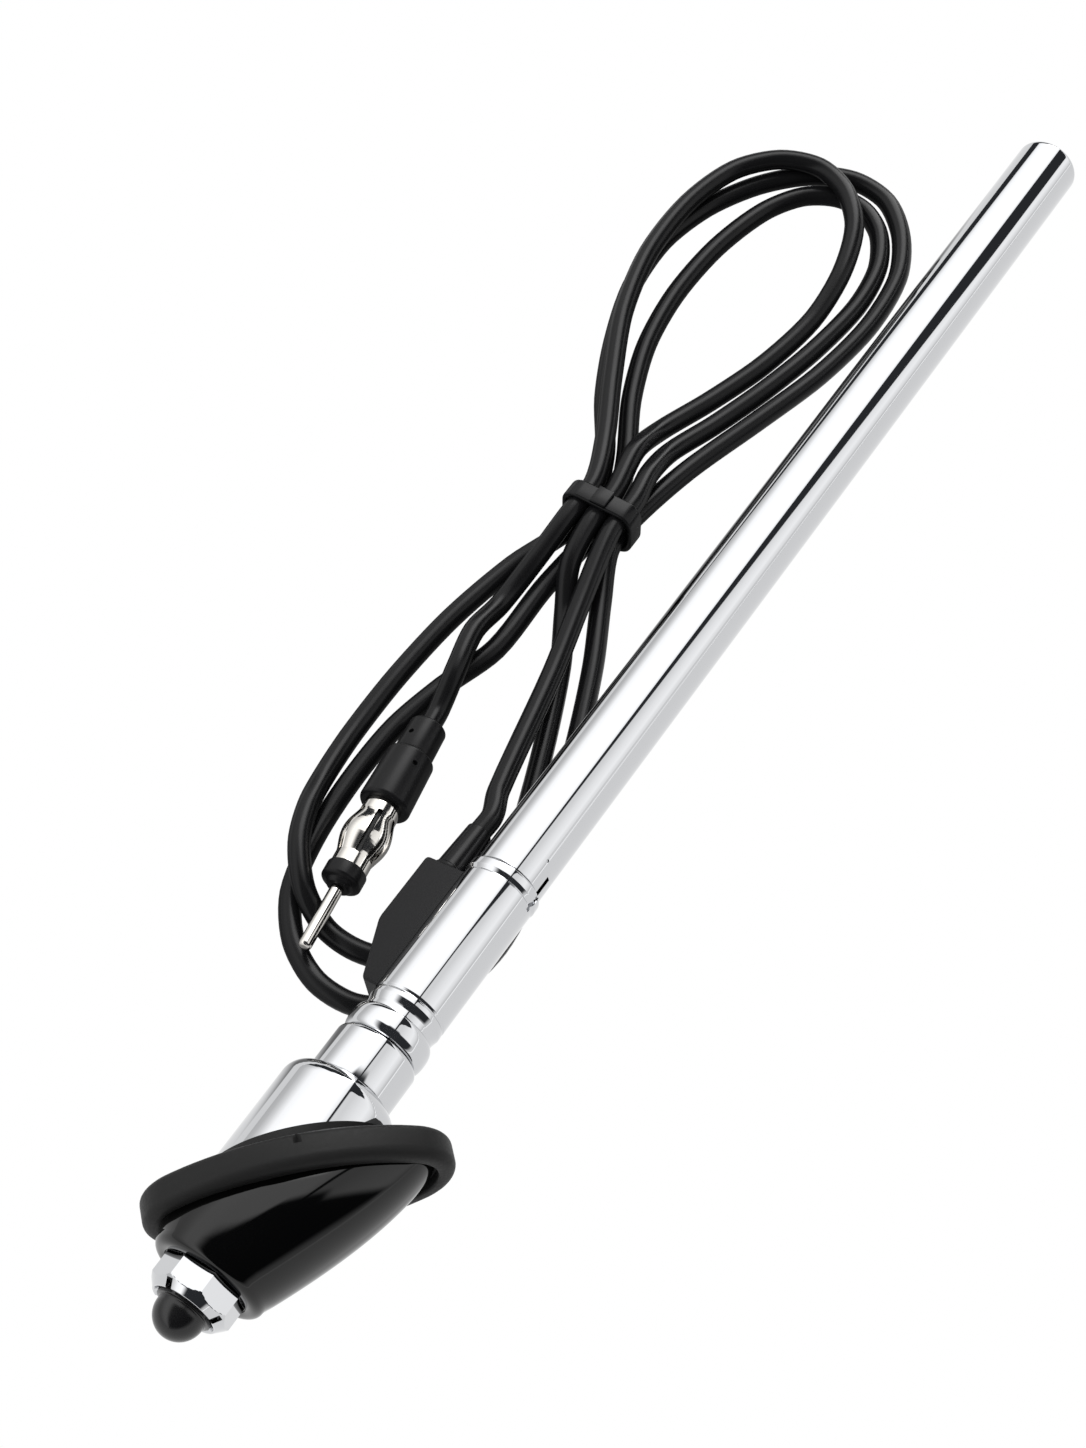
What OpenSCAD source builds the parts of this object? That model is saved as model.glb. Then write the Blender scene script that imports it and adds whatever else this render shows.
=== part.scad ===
// Telescopic car mast aerial for a slanted wing, lying on a surface with its lead beside it.
// Millimetres. The mast's axis runs along X, its tip to -X and the tube's far end to +X.
// Inside laid() the origin is where the gasket's back face crosses the axis.

/* [Parts] */
// Sub-part to build

/* [Mast] */
// Outer diameter of the widest moving tube
tube_1_d = 7.6; // [7:0.1:8.4]
// How much narrower the middle moving tube is
tube_2_step = 1.8; // [1.6:0.1:2]
// How much narrower again the narrowest tube is, and then the top rod
tube_3_step = 1.6; // [1.5:0.1:1.8]
// Wall of the moving tubes
mast_wall = 0.35; // [0.3:0.01:0.4]
// Radial running clearance between sliding pieces
run_gap = 0.1; // [0.06:0.01:0.1]
// Length of the widest moving tube
tube_1_l = 335.9; // [200:0.1:340]
// Step back of each inner section's lower end
step_back = 6; // [5:0.5:10]
// Length of the slide bush on each inner section
bush_l = 6; // [4:0.5:9]
// Wall of the foot that guides the widest tube
foot_wall = 0.6; // [0.5:0.1:0.9]
// Length of that foot
foot_l = 16; // [10:0.5:24]
// How far the tip button's collar stands out past its dome
tip_rim = 0.25; // [0.1:0.05:0.6]

/* [Tubes] */
// Space between the guide tube and the long chromed tube
insulation_t = 2.2; // [1.8:0.1:2.8]
// Wall of the long chromed tube
outer_wall = 0.45; // [0.4:0.05:0.8]
// Length of the long chromed tube past the pushed-in mast
tube_spare = 28; // [22:0.5:36]
// Station of the long tube's near end, inside the body
outer_start = 66.5; // [66.2:0.1:70]
// Radius of the rolled lip at the far end
lip_r = 1.6; // [1:0.1:2]
// Wall of the chromed body tube
body_wall = 0.4; // [0.3:0.05:0.6]
// Station of the body tube's collar end
body_end = 78.3; // [76:0.1:84]
// How far the rolled bead stands out past the neck's flange
bead_step = 0.7; // [0.5:0.1:1.2]
// Wall of the guide tube inside
guide_wall = 0.7; // [0.5:0.1:1]

/* [Neck] */
// Wall of the insulating liner in the neck
liner_t = 2.25; // [2:0.05:2.6]
// Wall of the threaded neck
neck_wall = 1.3; // [1.1:0.1:1.6]
// How far the neck's flange stands out inside the bead
flange_step = 1; // [0.8:0.1:1.1]
// Wall of the chromed sleeve under the cup
sleeve_wall = 1.8; // [1:0.1:2.4]
// How far the chromed clamp cup stands out past the neck
cup_step = 5.4; // [4:0.1:6.4]
// Wall of the clamp cup
cup_wall = 1.2; // [0.8:0.1:2]
// Gland nut's wall over the neck, at its flats
nut_wall = 1; // [0.8:0.1:1.5]
// Gland nut's height
nut_h = 7; // [6:0.1:9]

/* [Wing seat] */
// Angle between the wing panel and a plane square to the mast
wing_angle = 45; // [35:1:50]
// Gasket's length
gasket_l = 61.6; // [56:0.1:68]
// Gasket's width
gasket_w = 34; // [31:0.5:38]
// Gasket's thickness
gasket_t = 7; // [5.5:0.1:9]
// Radius of the gasket's ends
gasket_end_r = 12; // [10:0.5:14]
// How far the gasket's middle is offset from the mast
gasket_shift = 1.8; // [0.5:0.1:5]
// Width of the gasket's raised lip
gasket_lip = 4.3; // [3:0.1:6]
// Depth of the gasket's pocket
pocket_h = 2.2; // [1:0.1:3]
// How far the pedestal's nose stands out past the gland nut's flats
nose_step = 4; // [3:0.1:5]
// Pedestal's shell thickness
shell_t = 2; // [1.4:0.1:2.6]

/* [Cable box] */
// Length of the cable box along the tube
box_l = 32; // [26:0.5:36]
// Thickness of the cable box
box_h = 9; // [8:0.1:11]
// How far the cable box reaches past the lead's axis
box_cover = 4.3; // [3.8:0.1:6]
// Wall of the cable box
box_wall = 1.6; // [1:0.1:2]
// Angle of the cable box below level
box_drop = 10; // [0:1:12]
// Length of the strain relief
relief_l = 12.5; // [10:0.5:14]

/* [Lead] */
// Diameter of the lead
lead_d = 5; // [4:0.1:5.5]
// Diameter of the plug's pin
pin_d = 3; // [2.5:0.1:3.2]
// Visible length of the plug's pin
pin_l = 16; // [13:0.5:18]
// Diameter of the plug's spring barrel at its ends
barrel_d = 8.4; // [8:0.1:9]
// Diameter of the plug's spring barrel at its belly
barrel_belly = 11; // [10:0.1:11.4]
// Length of the plug's spring barrel
barrel_l = 17.5; // [15:0.5:20]
// Number of slots in the spring barrel
barrel_slots = 6; // [4:1:8]
// Diameter of the plug's sleeve
boot_d = 11.8; // [10.8:0.1:12]
// Length of the plug's sleeve
boot_l = 14.6; // [12:0.1:18]
// Width of the tie round the lead
tie_w = 5; // [3:0.5:6]

/* [Hidden] */
$fn = 64;
eps = 0.01;
// clearance of pieces that are pressed or screwed together
fit = 0.05;
// clearance of pieces that are only slipped over each other
slip = 0.1;
// clearance between faces of soft and hard pieces
seat = 0.05;

// stations along the axis
nut_base = -26;
nut_face = nut_base - nut_h;
nut_lip = 1.6;
neck_start = nut_face + nut_lip + 0.2;
flange_start = 33;
flange_end = 36;
guide_top = neck_start - 0.1;
mast_top = guide_top + 0.4;
mast_step = 0.3;
tip_base = mast_top - 2 * mast_step - 0.3;
tip_collar_l = 2.4;
tip_centre = tip_base - tip_collar_l - 0.3;
mast_end = mast_top + tube_1_l;
outer_end = mast_end + tube_spare;
foot_start = mast_end - 9;
sleeve_start = 20.6;
sleeve_end = 31.4;
bead_start = 31.6;
bead_end = 37.6;
groove = 38.8;
body_start = 40.6;
collar_start = body_end - 3.6;
bush_start = 42;
contact_start = 44;
contact_end = 58;
bush_end = 66;
guide_start = 60;
plug_start = outer_end - 15;
guide_end = outer_end - 8;

// diameters that follow from the mast, through its liner and neck
bore_1 = tube_1_d / 2 + run_gap;
neck_bore = 2 * (bore_1 + liner_t + fit);
neck_d = neck_bore + 2 * neck_wall;
tip_collar_d = neck_bore - 2 * fit;
tip_d = tip_collar_d - 2 * tip_rim;
flange_d = neck_d + 2 * flange_step;
bead_d = flange_d + 2 * bead_step;
sleeve_d = neck_d + 2 * sleeve_wall;
cup_d = neck_d + 2 * cup_step;
nut_af = neck_d + 2 * nut_wall;
nose_d = nut_af + 2 * nose_step;

// how much the long tube's near end is drawn down where the body holds it
drawn_down = 0.4;

// radii that follow from the fits, from the mast outwards
tube_2_d = tube_1_d - tube_2_step;
tube_3_d = tube_2_d - tube_3_step;
rod_d = tube_3_d - tube_3_step;
foot_d = tube_1_d + 2 * foot_wall;
guide_bore = foot_d + 2 * run_gap;
guide_d = guide_bore + 2 * guide_wall;
outer_d = guide_d + 2 * (insulation_t + outer_wall + fit);
body_in = outer_d / 2 + fit;
body_r = body_in + body_wall;
contact_t = 1.6;
contact_d = 2 * (bore_1 + contact_t);
insulator_r = outer_d / 2 - outer_wall - fit;
seat_plane = gasket_t - pocket_h + seat;
base_inset = gasket_lip;

// oval of four arcs: length l, width w and end radius r, drawn inside the line by i
function side_r(l, w, r) = (pow(l / 2 - r, 2) + w * w / 4 - r * r) / (w - 2 * r);
function oval_point(l, w, r, i, a) =
    let (s = side_r(l, w, r), c = l / 2 - r, q = atan2(s - w / 2, c))
    a < q ? [c + (r - i) * cos(a), (r - i) * sin(a)]
          : [(s - i) * cos(a), (s - i) * sin(a) - (s - w / 2)];
function oval_quarter(l, w, r, i) = [for (k = [0:12]) oval_point(l, w, r, i, k * 7.5)];
function turned_back(p) = [for (k = [len(p) - 1:-1:0]) p[k]];
function mirror_x(p) = [for (v = turned_back(p)) [-v[0], v[1]]];
function mirror_y(p) = [for (v = turned_back(p)) [v[0], -v[1]]];
function oval(l, w, r, i = 0) =
    let (half = concat(oval_quarter(l, w, r, i), mirror_x(oval_quarter(l, w, r, i))))
    concat(half, mirror_y(half));

// place of the whole aerial: the far lip and the gasket's lower edge both touch the surface
edge_round = 1.5;
lip_round = 2;
edge_x = gasket_shift * sin(wing_angle) - edge_round * cos(wing_angle);
tilt = atan((gasket_w / 2 - outer_d / 2) / (outer_end - lip_r - edge_x));
rise = edge_x * sin(tilt) + gasket_w / 2 * cos(tilt);
left_reach = gasket_l / 2 * cos(wing_angle) - gasket_shift * cos(wing_angle) - edge_round * sin(wing_angle);
right_reach = gasket_l / 2 * cos(wing_angle) + gasket_shift * cos(wing_angle)
    + (gasket_t - lip_round) * sin(wing_angle);
far_reach = (outer_end - lip_r) * cos(tilt) + (outer_d / 2 - lip_r) * sin(tilt) + lip_r;
near_reach = -tip_centre * cos(tilt) + tip_d / 2;
lay_x = (near_reach - far_reach) / 2;
lay_y = (right_reach - left_reach) / 2;

module laid() {
    translate([lay_x, lay_y, rise]) rotate([0, tilt, 0]) children();
}

// pieces turned about the axis: a list of [station, radius]
module turned(p) {
    rotate([0, 90, 0]) rotate_extrude() polygon([for (v = p) [v[1], v[0]]]);
}

module rod_x(x0, x1, r, n = 64) {
    translate([x0, 0, 0]) rotate([0, 90, 0]) cylinder(h = x1 - x0, r = r, $fn = n);
}

module pipe_x(x0, x1, r_out, r_in) {
    difference() {
        rod_x(x0, x1, r_out);
        rod_x(x0 - 1, x1 + 1, r_in);
    }
}

// a tube whose near end is swaged in to guide the section inside it
module mast_tube(x0, x1, d, inner_d) {
    color("silver") difference() {
        turned([[x0, 0], [x0, d / 2 - 0.3], [x0 + 0.3, d / 2], [x1, d / 2], [x1, 0]]);
        rod_x(x0 - 1, x1 + 1, inner_d / 2 + run_gap);
        rod_x(x0 + 0.8, x1 + 1, d / 2 - mast_wall);
    }
}

module tip_button() {
    laid() color([0.03, 0.03, 0.03]) difference() {
        union() {
            intersection() {
                translate([tip_centre, 0, 0]) sphere(d = tip_d);
                rod_x(tip_centre - tip_d, tip_centre + 1.2, tip_d);
            }
            turned([[tip_base - tip_collar_l, 0], [tip_base - tip_collar_l, tip_collar_d / 2 - 0.4],
                [tip_base - tip_collar_l + 0.4, tip_collar_d / 2], [tip_base, tip_collar_d / 2], [tip_base, 0]]);
        }
        rod_x(tip_centre - 1.5, tip_base + 1, rod_d / 2 + fit);
    }
}

module mast_rod() {
    laid() color("silver") union() {
        rod_x(tip_centre - 1.4, mast_end - 3 * step_back, rod_d / 2);
        turned([[tip_base, 0], [tip_base, rod_d / 2 + 0.35], [tip_base + 0.25, rod_d / 2 + 0.35], [tip_base + 0.25, 0]]);
    }
}

module slide_bush(x1, r_in, tube_in) {
    color("goldenrod") pipe_x(x1 - bush_l, x1, tube_in - run_gap, r_in);
}

module mast_bush_4() {
    laid() slide_bush(mast_end - 3 * step_back, rod_d / 2 + fit, tube_3_d / 2 - mast_wall);
}

module mast_tube_3() {
    laid() mast_tube(mast_top - 2 * mast_step, mast_end - 2 * step_back, tube_3_d, rod_d);
}

module mast_bush_3() {
    laid() slide_bush(mast_end - 2 * step_back, tube_3_d / 2 + fit, tube_2_d / 2 - mast_wall);
}

module mast_tube_2() {
    laid() mast_tube(mast_top - mast_step, mast_end - step_back, tube_2_d, tube_3_d);
}

module mast_bush_2() {
    laid() slide_bush(mast_end - step_back, tube_2_d / 2 + fit, tube_1_d / 2 - mast_wall);
}

module mast_tube_1() {
    laid() mast_tube(mast_top, mast_end, tube_1_d, tube_2_d);
}

module mast_foot() {
    laid() color("whitesmoke") difference() {
        turned([[foot_start, 0], [foot_start, foot_d / 2 - 0.5], [foot_start + 1, foot_d / 2],
            [foot_start + foot_l - 1, foot_d / 2], [foot_start + foot_l, foot_d / 2 - 0.5],
            [foot_start + foot_l, 0]]);
        rod_x(foot_start - 1, mast_end + fit, tube_1_d / 2 + fit);
        rod_x(foot_start, foot_start + foot_l + 1, 2.2);
    }
}

// head pieces
module gland_nut() {
    corner = nut_af / 2 / cos(22.5);
    mouth = tip_collar_d / 2 + 0.35;
    laid() color([0.85, 0.85, 0.87]) difference() {
        intersection() {
            rotate([22.5, 0, 0]) rod_x(nut_face, nut_base, corner, 8);
            turned([[nut_face, 0], [nut_face, nut_af / 2 - 1.2], [nut_face + 1.4, corner + 0.1],
                [nut_base - 0.6, corner + 0.1], [nut_base, nut_af / 2 - 0.2], [nut_base, 0]]);
        }
        rod_x(nut_face - 1, nut_base + 1, mouth);
        rod_x(nut_face + nut_lip, nut_base + 1, neck_d / 2 + fit);
        for (a = [0:90:270])
            rotate([a + 22.5, 0, 0]) translate([nut_face - 1, -1.1, mouth - 1]) cube([2.6, 2.2, 6]);
    }
}

// child's X runs along the gasket, its Y up and its Z out of the wing towards the tip
module on_wing() {
    rotate([90, 0, wing_angle - 90]) translate([gasket_shift, 0, 0]) children();
}

module oval_slab(z, h, inset) {
    translate([0, 0, z]) linear_extrude(h) polygon(oval(gasket_l, gasket_w, gasket_end_r, inset));
}

module pedestal_blend(inset, base_z, base_h, nose_r, nose_x, swell) {
    hull() {
        on_wing() oval_slab(base_z, base_h, base_inset + inset);
        on_wing() oval_slab(base_z + base_h + 1.5, 0.1, base_inset + inset + 0.9 - swell);
        rod_x(nose_x, nose_x + 2, nose_r - 1.2, 48);
        rod_x(nose_x + 0.35, nose_x + 2, nose_r - 0.35, 48);
        rod_x(nose_x + 1.2, nose_x + 2.6, nose_r, 48);
        translate([-9, -5.5, 0]) rotate([0, 90, -12]) cylinder(h = 2, r = nose_r + swell, $fn = 48);
    }
}

module pedestal() {
    recess_r = nut_af / 2 / cos(22.5) + 0.3;
    laid() color([0.02, 0.02, 0.02]) difference() {
        pedestal_blend(0, seat_plane - 1, 2.6, nose_d / 2, nut_base - 0.8, 0.6);
        difference() {
            pedestal_blend(shell_t, seat_plane - 2, 3.4, nose_d / 2 - shell_t, nut_base + 3.2, 0.3);
            rod_x(-40, 40, neck_d / 2 + 2.4);
            on_wing() for (x = [-17, 15]) translate([x - 0.8, -20, 0]) cube([1.6, 40, 40]);
            on_wing() translate([-40, -0.8, 0]) cube([80, 1.6, 40]);
        }
        on_wing() translate([-40, -30, seat_plane - 20]) cube([80, 60, 20]);
        on_wing() difference() {
            translate([-40, -30, seat_plane - 10]) cube([80, 60, gasket_t - seat_plane + 10 + slip]);
            oval_slab(seat_plane - 11, gasket_t + 20, base_inset - 0.1);
        }
        rod_x(-40, 40, neck_d / 2 + slip);
        rod_x(nut_base - 5, nut_base, recess_r);
    }
}

module gasket() {
    laid() color([0.05, 0.05, 0.05]) difference() {
        hull() {
            on_wing() oval_slab(0, 0.1, edge_round);
            on_wing() oval_slab(edge_round / 3, 0.1, edge_round / 3);
            on_wing() oval_slab(edge_round, gasket_t - edge_round - lip_round, 0);
            on_wing() oval_slab(gasket_t - lip_round * 0.4, 0.1, lip_round * 0.35);
            on_wing() oval_slab(gasket_t - 0.1, 0.1, lip_round);
        }
        on_wing() oval_slab(gasket_t - pocket_h, pocket_h + 1, base_inset - 0.35);
        rod_x(-40, 40, neck_d / 2 + slip);
        on_wing() translate([-9, gasket_w / 2 - 1.1, gasket_t - 1.6]) rotate([0, 0, 45]) cube([1.6, 1.6, 3]);
    }
}

cup_pad_t = 3;
cup_shoulder = 4.5;

// everything on the gasket's back side, from a distance h down from it
module behind_wing(h) {
    on_wing() translate([-100, -100, -h - 200]) cube([200, 200, 200]);
}

module cup_pad() {
    laid() color([0.04, 0.04, 0.04]) difference() {
        intersection() {
            rod_x(-30, 30, cup_d / 2);
            behind_wing(seat);
        }
        behind_wing(cup_pad_t);
        rod_x(-40, 40, neck_d / 2 + slip);
    }
}

module cup_outline(inset) {
    end = sleeve_start - inset;
    r = cup_d / 2 - inset;
    turned(concat([[-30, 0], [-30, r]],
        [for (k = [0:6]) [end - cup_shoulder + cup_shoulder * sin(k * 15), r - cup_shoulder + cup_shoulder * cos(k * 15)]],
        [[end, 0]]));
}

module clamp_cup() {
    laid() color([0.85, 0.85, 0.87]) difference() {
        intersection() {
            cup_outline(0);
            behind_wing(cup_pad_t + seat);
        }
        cup_outline(cup_wall);
        rod_x(-40, 40, neck_d / 2 + slip);
    }
}

module neck_sleeve() {
    r = sleeve_d / 2;
    laid() color([0.85, 0.85, 0.87]) difference() {
        turned([[sleeve_start + seat, 0], [sleeve_start + seat, r], [sleeve_end - 1, r], [sleeve_end - 0.3, r - 0.3],
            [sleeve_end, r - 1], [sleeve_end, 0]]);
        rod_x(sleeve_start - 1, sleeve_end + 1, neck_d / 2 + slip);
    }
}

module threaded_neck() {
    r = neck_d / 2;
    laid() color("darkgray") difference() {
        turned([[neck_start, 0], [neck_start, r - 0.5], [neck_start + 0.5, r], [flange_start, r],
            [flange_start, flange_d / 2], [flange_end, flange_d / 2], [flange_end, 0]]);
        rod_x(neck_start - 1, flange_end + 1, neck_bore / 2);
    }
}

module top_guide() {
    laid() color([0.1, 0.1, 0.1]) pipe_x(guide_top, flange_start + 1, neck_bore / 2 - fit, bore_1);
}

// the body tube: an end rolled over the neck's flange, a groove and a plain collar
function bead_r(x, mid, half, low, high) =
    low + (high - low) * pow(max(0, 1 - pow(abs(x - mid) / half, 2.6)), 0.5);

module body_outline(g) {
    mid = (bead_start + bead_end) / 2;
    half = (bead_end - bead_start) / 2;
    neck_r = neck_d / 2 + 0.45;
    bead = [for (k = [-1:0.125:1]) [mid + k * (half - g), bead_r(mid + k * half, mid, half, neck_r, bead_d / 2) - g]];
    turned(concat([[bead_start + g, 0]], bead, [[groove, neck_r - g + 0.05], [body_start, body_r - g],
        [body_start + 1.2, body_r - g], [body_start + 1.6, body_r - 0.25 - g], [body_start + 2, body_r - g],
        [collar_start + 0.6, body_r - g], [collar_start + 0.9, body_r - 0.2 - g], [collar_start + 1.3, body_r - 0.2 - g],
        [collar_start + 1.7, body_r + 0.2 - g], [body_end - 0.4 + g, body_r + 0.2 - g], [body_end + g, body_r - 0.1 - g],
        [body_end + g, 0]]));
}

module body_tube() {
    laid() color([0.85, 0.85, 0.87]) difference() {
        body_outline(0);
        body_outline(body_wall);
        rod_x(body_start, outer_start - 0.2, body_in);
        rod_x(body_start, body_end + 1, body_in - drawn_down);
        rod_x(flange_start - 5, flange_start, neck_d / 2 + slip);
        turned([[body_end - 1.2, 0], [body_end - 1.2, body_in - drawn_down], [body_end - 0.5, body_in + 0.2],
            [body_end + 1, body_in + 0.2], [body_end + 1, 0]]);
        rotate([164.2, 0, 0]) translate([body_end - 4.3, 0, -0.6]) cube([6, 12, 1.2]);
        at_box() contact_window();
    }
}

module outer_tube() {
    r = outer_d / 2;
    laid() color([0.85, 0.85, 0.87]) difference() {
        turned(concat([[outer_start, 0], [outer_start, r - drawn_down], [body_end - 0.6, r - drawn_down], [body_end + 0.1, r]],
            [for (k = [0:6]) [outer_end - lip_r + lip_r * sin(k * 15), r - lip_r + lip_r * cos(k * 15)]],
            [[outer_end, 0]]));
        rod_x(body_end, outer_end - outer_wall - 0.8, r - outer_wall);
        rod_x(outer_start - 1, body_end + 1, r - outer_wall - drawn_down);
        rod_x(outer_start - 1, outer_end + 1, r - lip_r);
        rotate([164.2, 0, 0]) translate([body_end - 1, 0, -0.6]) cube([5.7, 12, 1.2]);
        rotate([-129.6 + 180, 0, 0]) translate([85, 0, -r]) cylinder(h = 0.4, r = 0.4, center = true, $fn = 24);
    }
}

module end_plug() {
    r = outer_d / 2 - outer_wall - fit;
    rim = outer_end - outer_wall - 0.8 - fit;
    laid() color([0.08, 0.08, 0.08]) difference() {
        rod_x(plug_start, rim, r);
        rod_x(plug_start - 1, guide_end + fit, guide_d / 2 + fit);
        rod_x(outer_end - 6, outer_end, r - 2);
        rod_x(plug_start, outer_end, 1.5, 24);
    }
}

module guide_tube() {
    laid() color("ivory") pipe_x(guide_start, guide_end, guide_d / 2, guide_bore / 2);
}

module insulator_bush() {
    laid() color("ivory") difference() {
        rod_x(bush_start, bush_end, insulator_r);
        rod_x(bush_start - 1, contact_end + fit, contact_d / 2 + fit);
        rod_x(contact_end - 1, bush_end + 1, guide_d / 2 + fit);
        at_box() contact_window();
    }
}

module contact_ring() {
    laid() color("goldenrod") pipe_x(contact_start, contact_end, contact_d / 2, bore_1);
}

// the cable box sits on the left of the body, a little below level
module at_box() {
    rotate([-box_drop, 0, 0]) children();
}

box_start = 42.5;
box_end = box_start + box_l;
box_slope = 14.2;
relief_d = 6.8;
relief_tip_d = 5.8;
lead_reach = body_r + relief_d / 2 + 0.55;
box_reach = lead_reach + box_cover;
lid_t = 1.6;
strip_start = box_start + 10.6;
strip_w = 4.4;

// opening in the body, the bush and the box for the contact strip
module contact_window() {
    translate([strip_start - 0.8, 0, -3]) cube([strip_w + 1.6, body_r + 1.6, 6]);
}

module box_outline(inset) {
    offset(delta = -inset) polygon([[box_start, 2], [box_start, body_r + 2.65], [box_start + box_slope, box_reach],
        [box_end - 2, box_reach], [box_end - 0.5, box_reach - 0.5], [box_end, box_reach - 2], [box_end, 2]]);
}

module cable_box() {
    laid() color([0.06, 0.06, 0.06]) at_box() difference() {
        translate([0, 0, -box_h / 2 + lid_t + seat]) linear_extrude(box_h - lid_t - seat) box_outline(0);
        translate([0, 0, -box_h]) linear_extrude(box_h * 1.5 - box_wall) intersection() {
            box_outline(box_wall);
            translate([0, body_r + 1]) square([200, 100]);
        }
        rod_x(0, 100, body_r + fit);
        contact_window();
        translate([box_end - 3, lead_reach, 0]) rotate([0, 90, 0]) cylinder(h = 6, d = relief_d - 1);
    }
}

module box_lid() {
    laid() color([0.06, 0.06, 0.06]) at_box() difference() {
        translate([0, 0, -box_h / 2]) linear_extrude(lid_t) box_outline(0);
        rod_x(0, 100, body_r + fit);
    }
}

module strain_relief() {
    laid() color([0.05, 0.05, 0.05]) at_box() translate([0, lead_reach, 0]) turned([[box_end - 3, 0],
        [box_end - 3, relief_d / 2 - 0.5 - fit], [box_end + seat, relief_d / 2 - 0.5 - fit],
        [box_end + seat, relief_d / 2 + 0.3], [box_end + 1, relief_d / 2 + 0.3], [box_end + 1.2, relief_d / 2],
        [box_end + relief_l, relief_tip_d / 2], [box_end + relief_l, 0]]);
}

module contact_strip() {
    laid() color("goldenrod") at_box() union() {
        translate([strip_start, contact_d / 2 + fit, -1.5]) cube([strip_w, lead_reach - contact_d / 2 + 0.3, 0.6]);
        translate([strip_start, lead_reach - 0.2, -1.5]) cube([box_end - strip_start - 6, 0.6, 3]);
    }
}

// the plug lies on the lead with its pin towards the tip
beside_x = lay_x + 146.33;
beside_y = lay_y - 4.42;
plug_x = beside_x - 100.5;
plug_y = beside_y + 33.5;
plug_z = 8.7;
plug_turn = 9;
plug_dip = 2.9;
collar_l = 5;
collar_d = 9.2;
pin_step = 0.25;
tail_l = 9.2;
tail_d = 9.2;
barrel_start = pin_l + collar_l;
boot_start = barrel_start + barrel_l;
tail_start = boot_start + boot_l;
tail_end = tail_start + tail_l;

module at_plug() {
    translate([plug_x, plug_y, plug_z]) rotate([0, plug_dip, plug_turn]) children();
}

module plug_pin() {
    r = pin_d / 2;
    at_plug() color([0.8, 0.8, 0.8]) turned([[0, 0], [0, r * 0.4], [0.3, r * 0.8], [0.9, r],
        [pin_l - 0.2, r], [pin_l - 0.1, r - pin_step], [tail_start - 4, r - pin_step], [tail_start - 4, 0]]);
}

module plug_insulator() {
    at_plug() color([0.04, 0.04, 0.04]) difference() {
        union() {
            turned([[pin_l, 0], [pin_l, 2.6], [pin_l + 0.6, 3], [pin_l + 1, 3], [pin_l + 1, collar_d / 2 - 0.4],
                [pin_l + 1.4, collar_d / 2], [barrel_start - seat, collar_d / 2], [barrel_start - seat, 0]]);
            rod_x(pin_l + 2, boot_start, barrel_d / 2 - 0.9 - fit);
        }
        rod_x(-1, 100, pin_d / 2 - pin_step + fit);
    }
}

// belly of the spring barrel between two plain cuffs
function belly(x, r0, r1) = r0 + (r1 - r0) * pow(sin(180 * x), 1.3);

module barrel_outline(g) {
    cuff = 3;
    run = barrel_l - 2 * cuff;
    turned(concat([[barrel_start, 0], [barrel_start, barrel_d / 2 - g]],
        [for (k = [0:0.1:1.001]) [barrel_start + cuff + k * run, belly(min(k, 1), barrel_d / 2, barrel_belly / 2) - g]],
        [[boot_start, barrel_d / 2 - g], [boot_start, 0]]));
}

module plug_barrel() {
    at_plug() color([0.8, 0.8, 0.8]) difference() {
        barrel_outline(0);
        barrel_outline(0.6);
        rod_x(barrel_start - 1, boot_start + 1, barrel_d / 2 - 0.6);
        for (k = [0:barrel_slots - 1])
            rotate([k * 360 / barrel_slots + 15, 0, 0])
                translate([barrel_start + 3.2, -0.5, 0]) cube([barrel_l - 6.4, 1, 12]);
    }
}

module plug_boot() {
    at_plug() color([0.04, 0.04, 0.04]) difference() {
        turned([[boot_start + seat, 0], [boot_start + seat, boot_d / 2 - 0.6], [boot_start + 0.8, boot_d / 2],
            [tail_start - 0.6, boot_d / 2 - 0.4], [tail_start, boot_d / 2 - 1], [tail_start, 0]]);
        rod_x(boot_start - 1, tail_start - 3, pin_d / 2 - pin_step + fit);
        rotate([30, 0, 0]) translate([tail_start - 4, 0, 0]) cylinder(h = 10, r = 0.6, $fn = 24);
    }
}

module plug_tail() {
    at_plug() color([0.04, 0.04, 0.04]) difference() {
        turned([[tail_start + seat, 0], [tail_start + seat, tail_d / 2], [tail_end - 0.6, tail_d / 2 - 0.3],
            [tail_end, tail_d / 2 - 1], [tail_end, 0]]);
        rotate([-25, 0, 0]) translate([tail_start + 4, 0, 2]) cylinder(h = 10, r = 0.6, $fn = 24);
    }
}

// tie round the six strands of the folded lead
tie_x = beside_x + 30.5;
tie_y = beside_y + 41.6;
tie_z = 6.65;
tie_inner_w = 16.4;
tie_inner_h = 10.7;
tie_t = 1.2;
tie_end_r = 2.6;

module tie_outline(g) {
    polygon([for (c = [[1, 1, 0], [-1, 1, 90], [-1, -1, 180], [1, -1, 270]]) for (a = [0:15:90])
        [c[0] * (tie_inner_w / 2 - tie_end_r) + (tie_end_r + g) * cos(c[2] + a),
         c[1] * (tie_inner_h / 2 - tie_end_r) + (tie_end_r + g) * sin(c[2] + a)]]);
}

module cable_tie() {
    color([0.04, 0.04, 0.04]) translate([tie_x, tie_y, tie_z]) rotate([90, 0, 90]) union() {
        linear_extrude(tie_w, center = true) difference() {
            tie_outline(tie_t);
            tie_outline(0);
        }
        translate([-2, tie_inner_h / 2 + tie_t - eps, -tie_w / 2]) cube([4, 1, tie_w]);
    }
}

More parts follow.
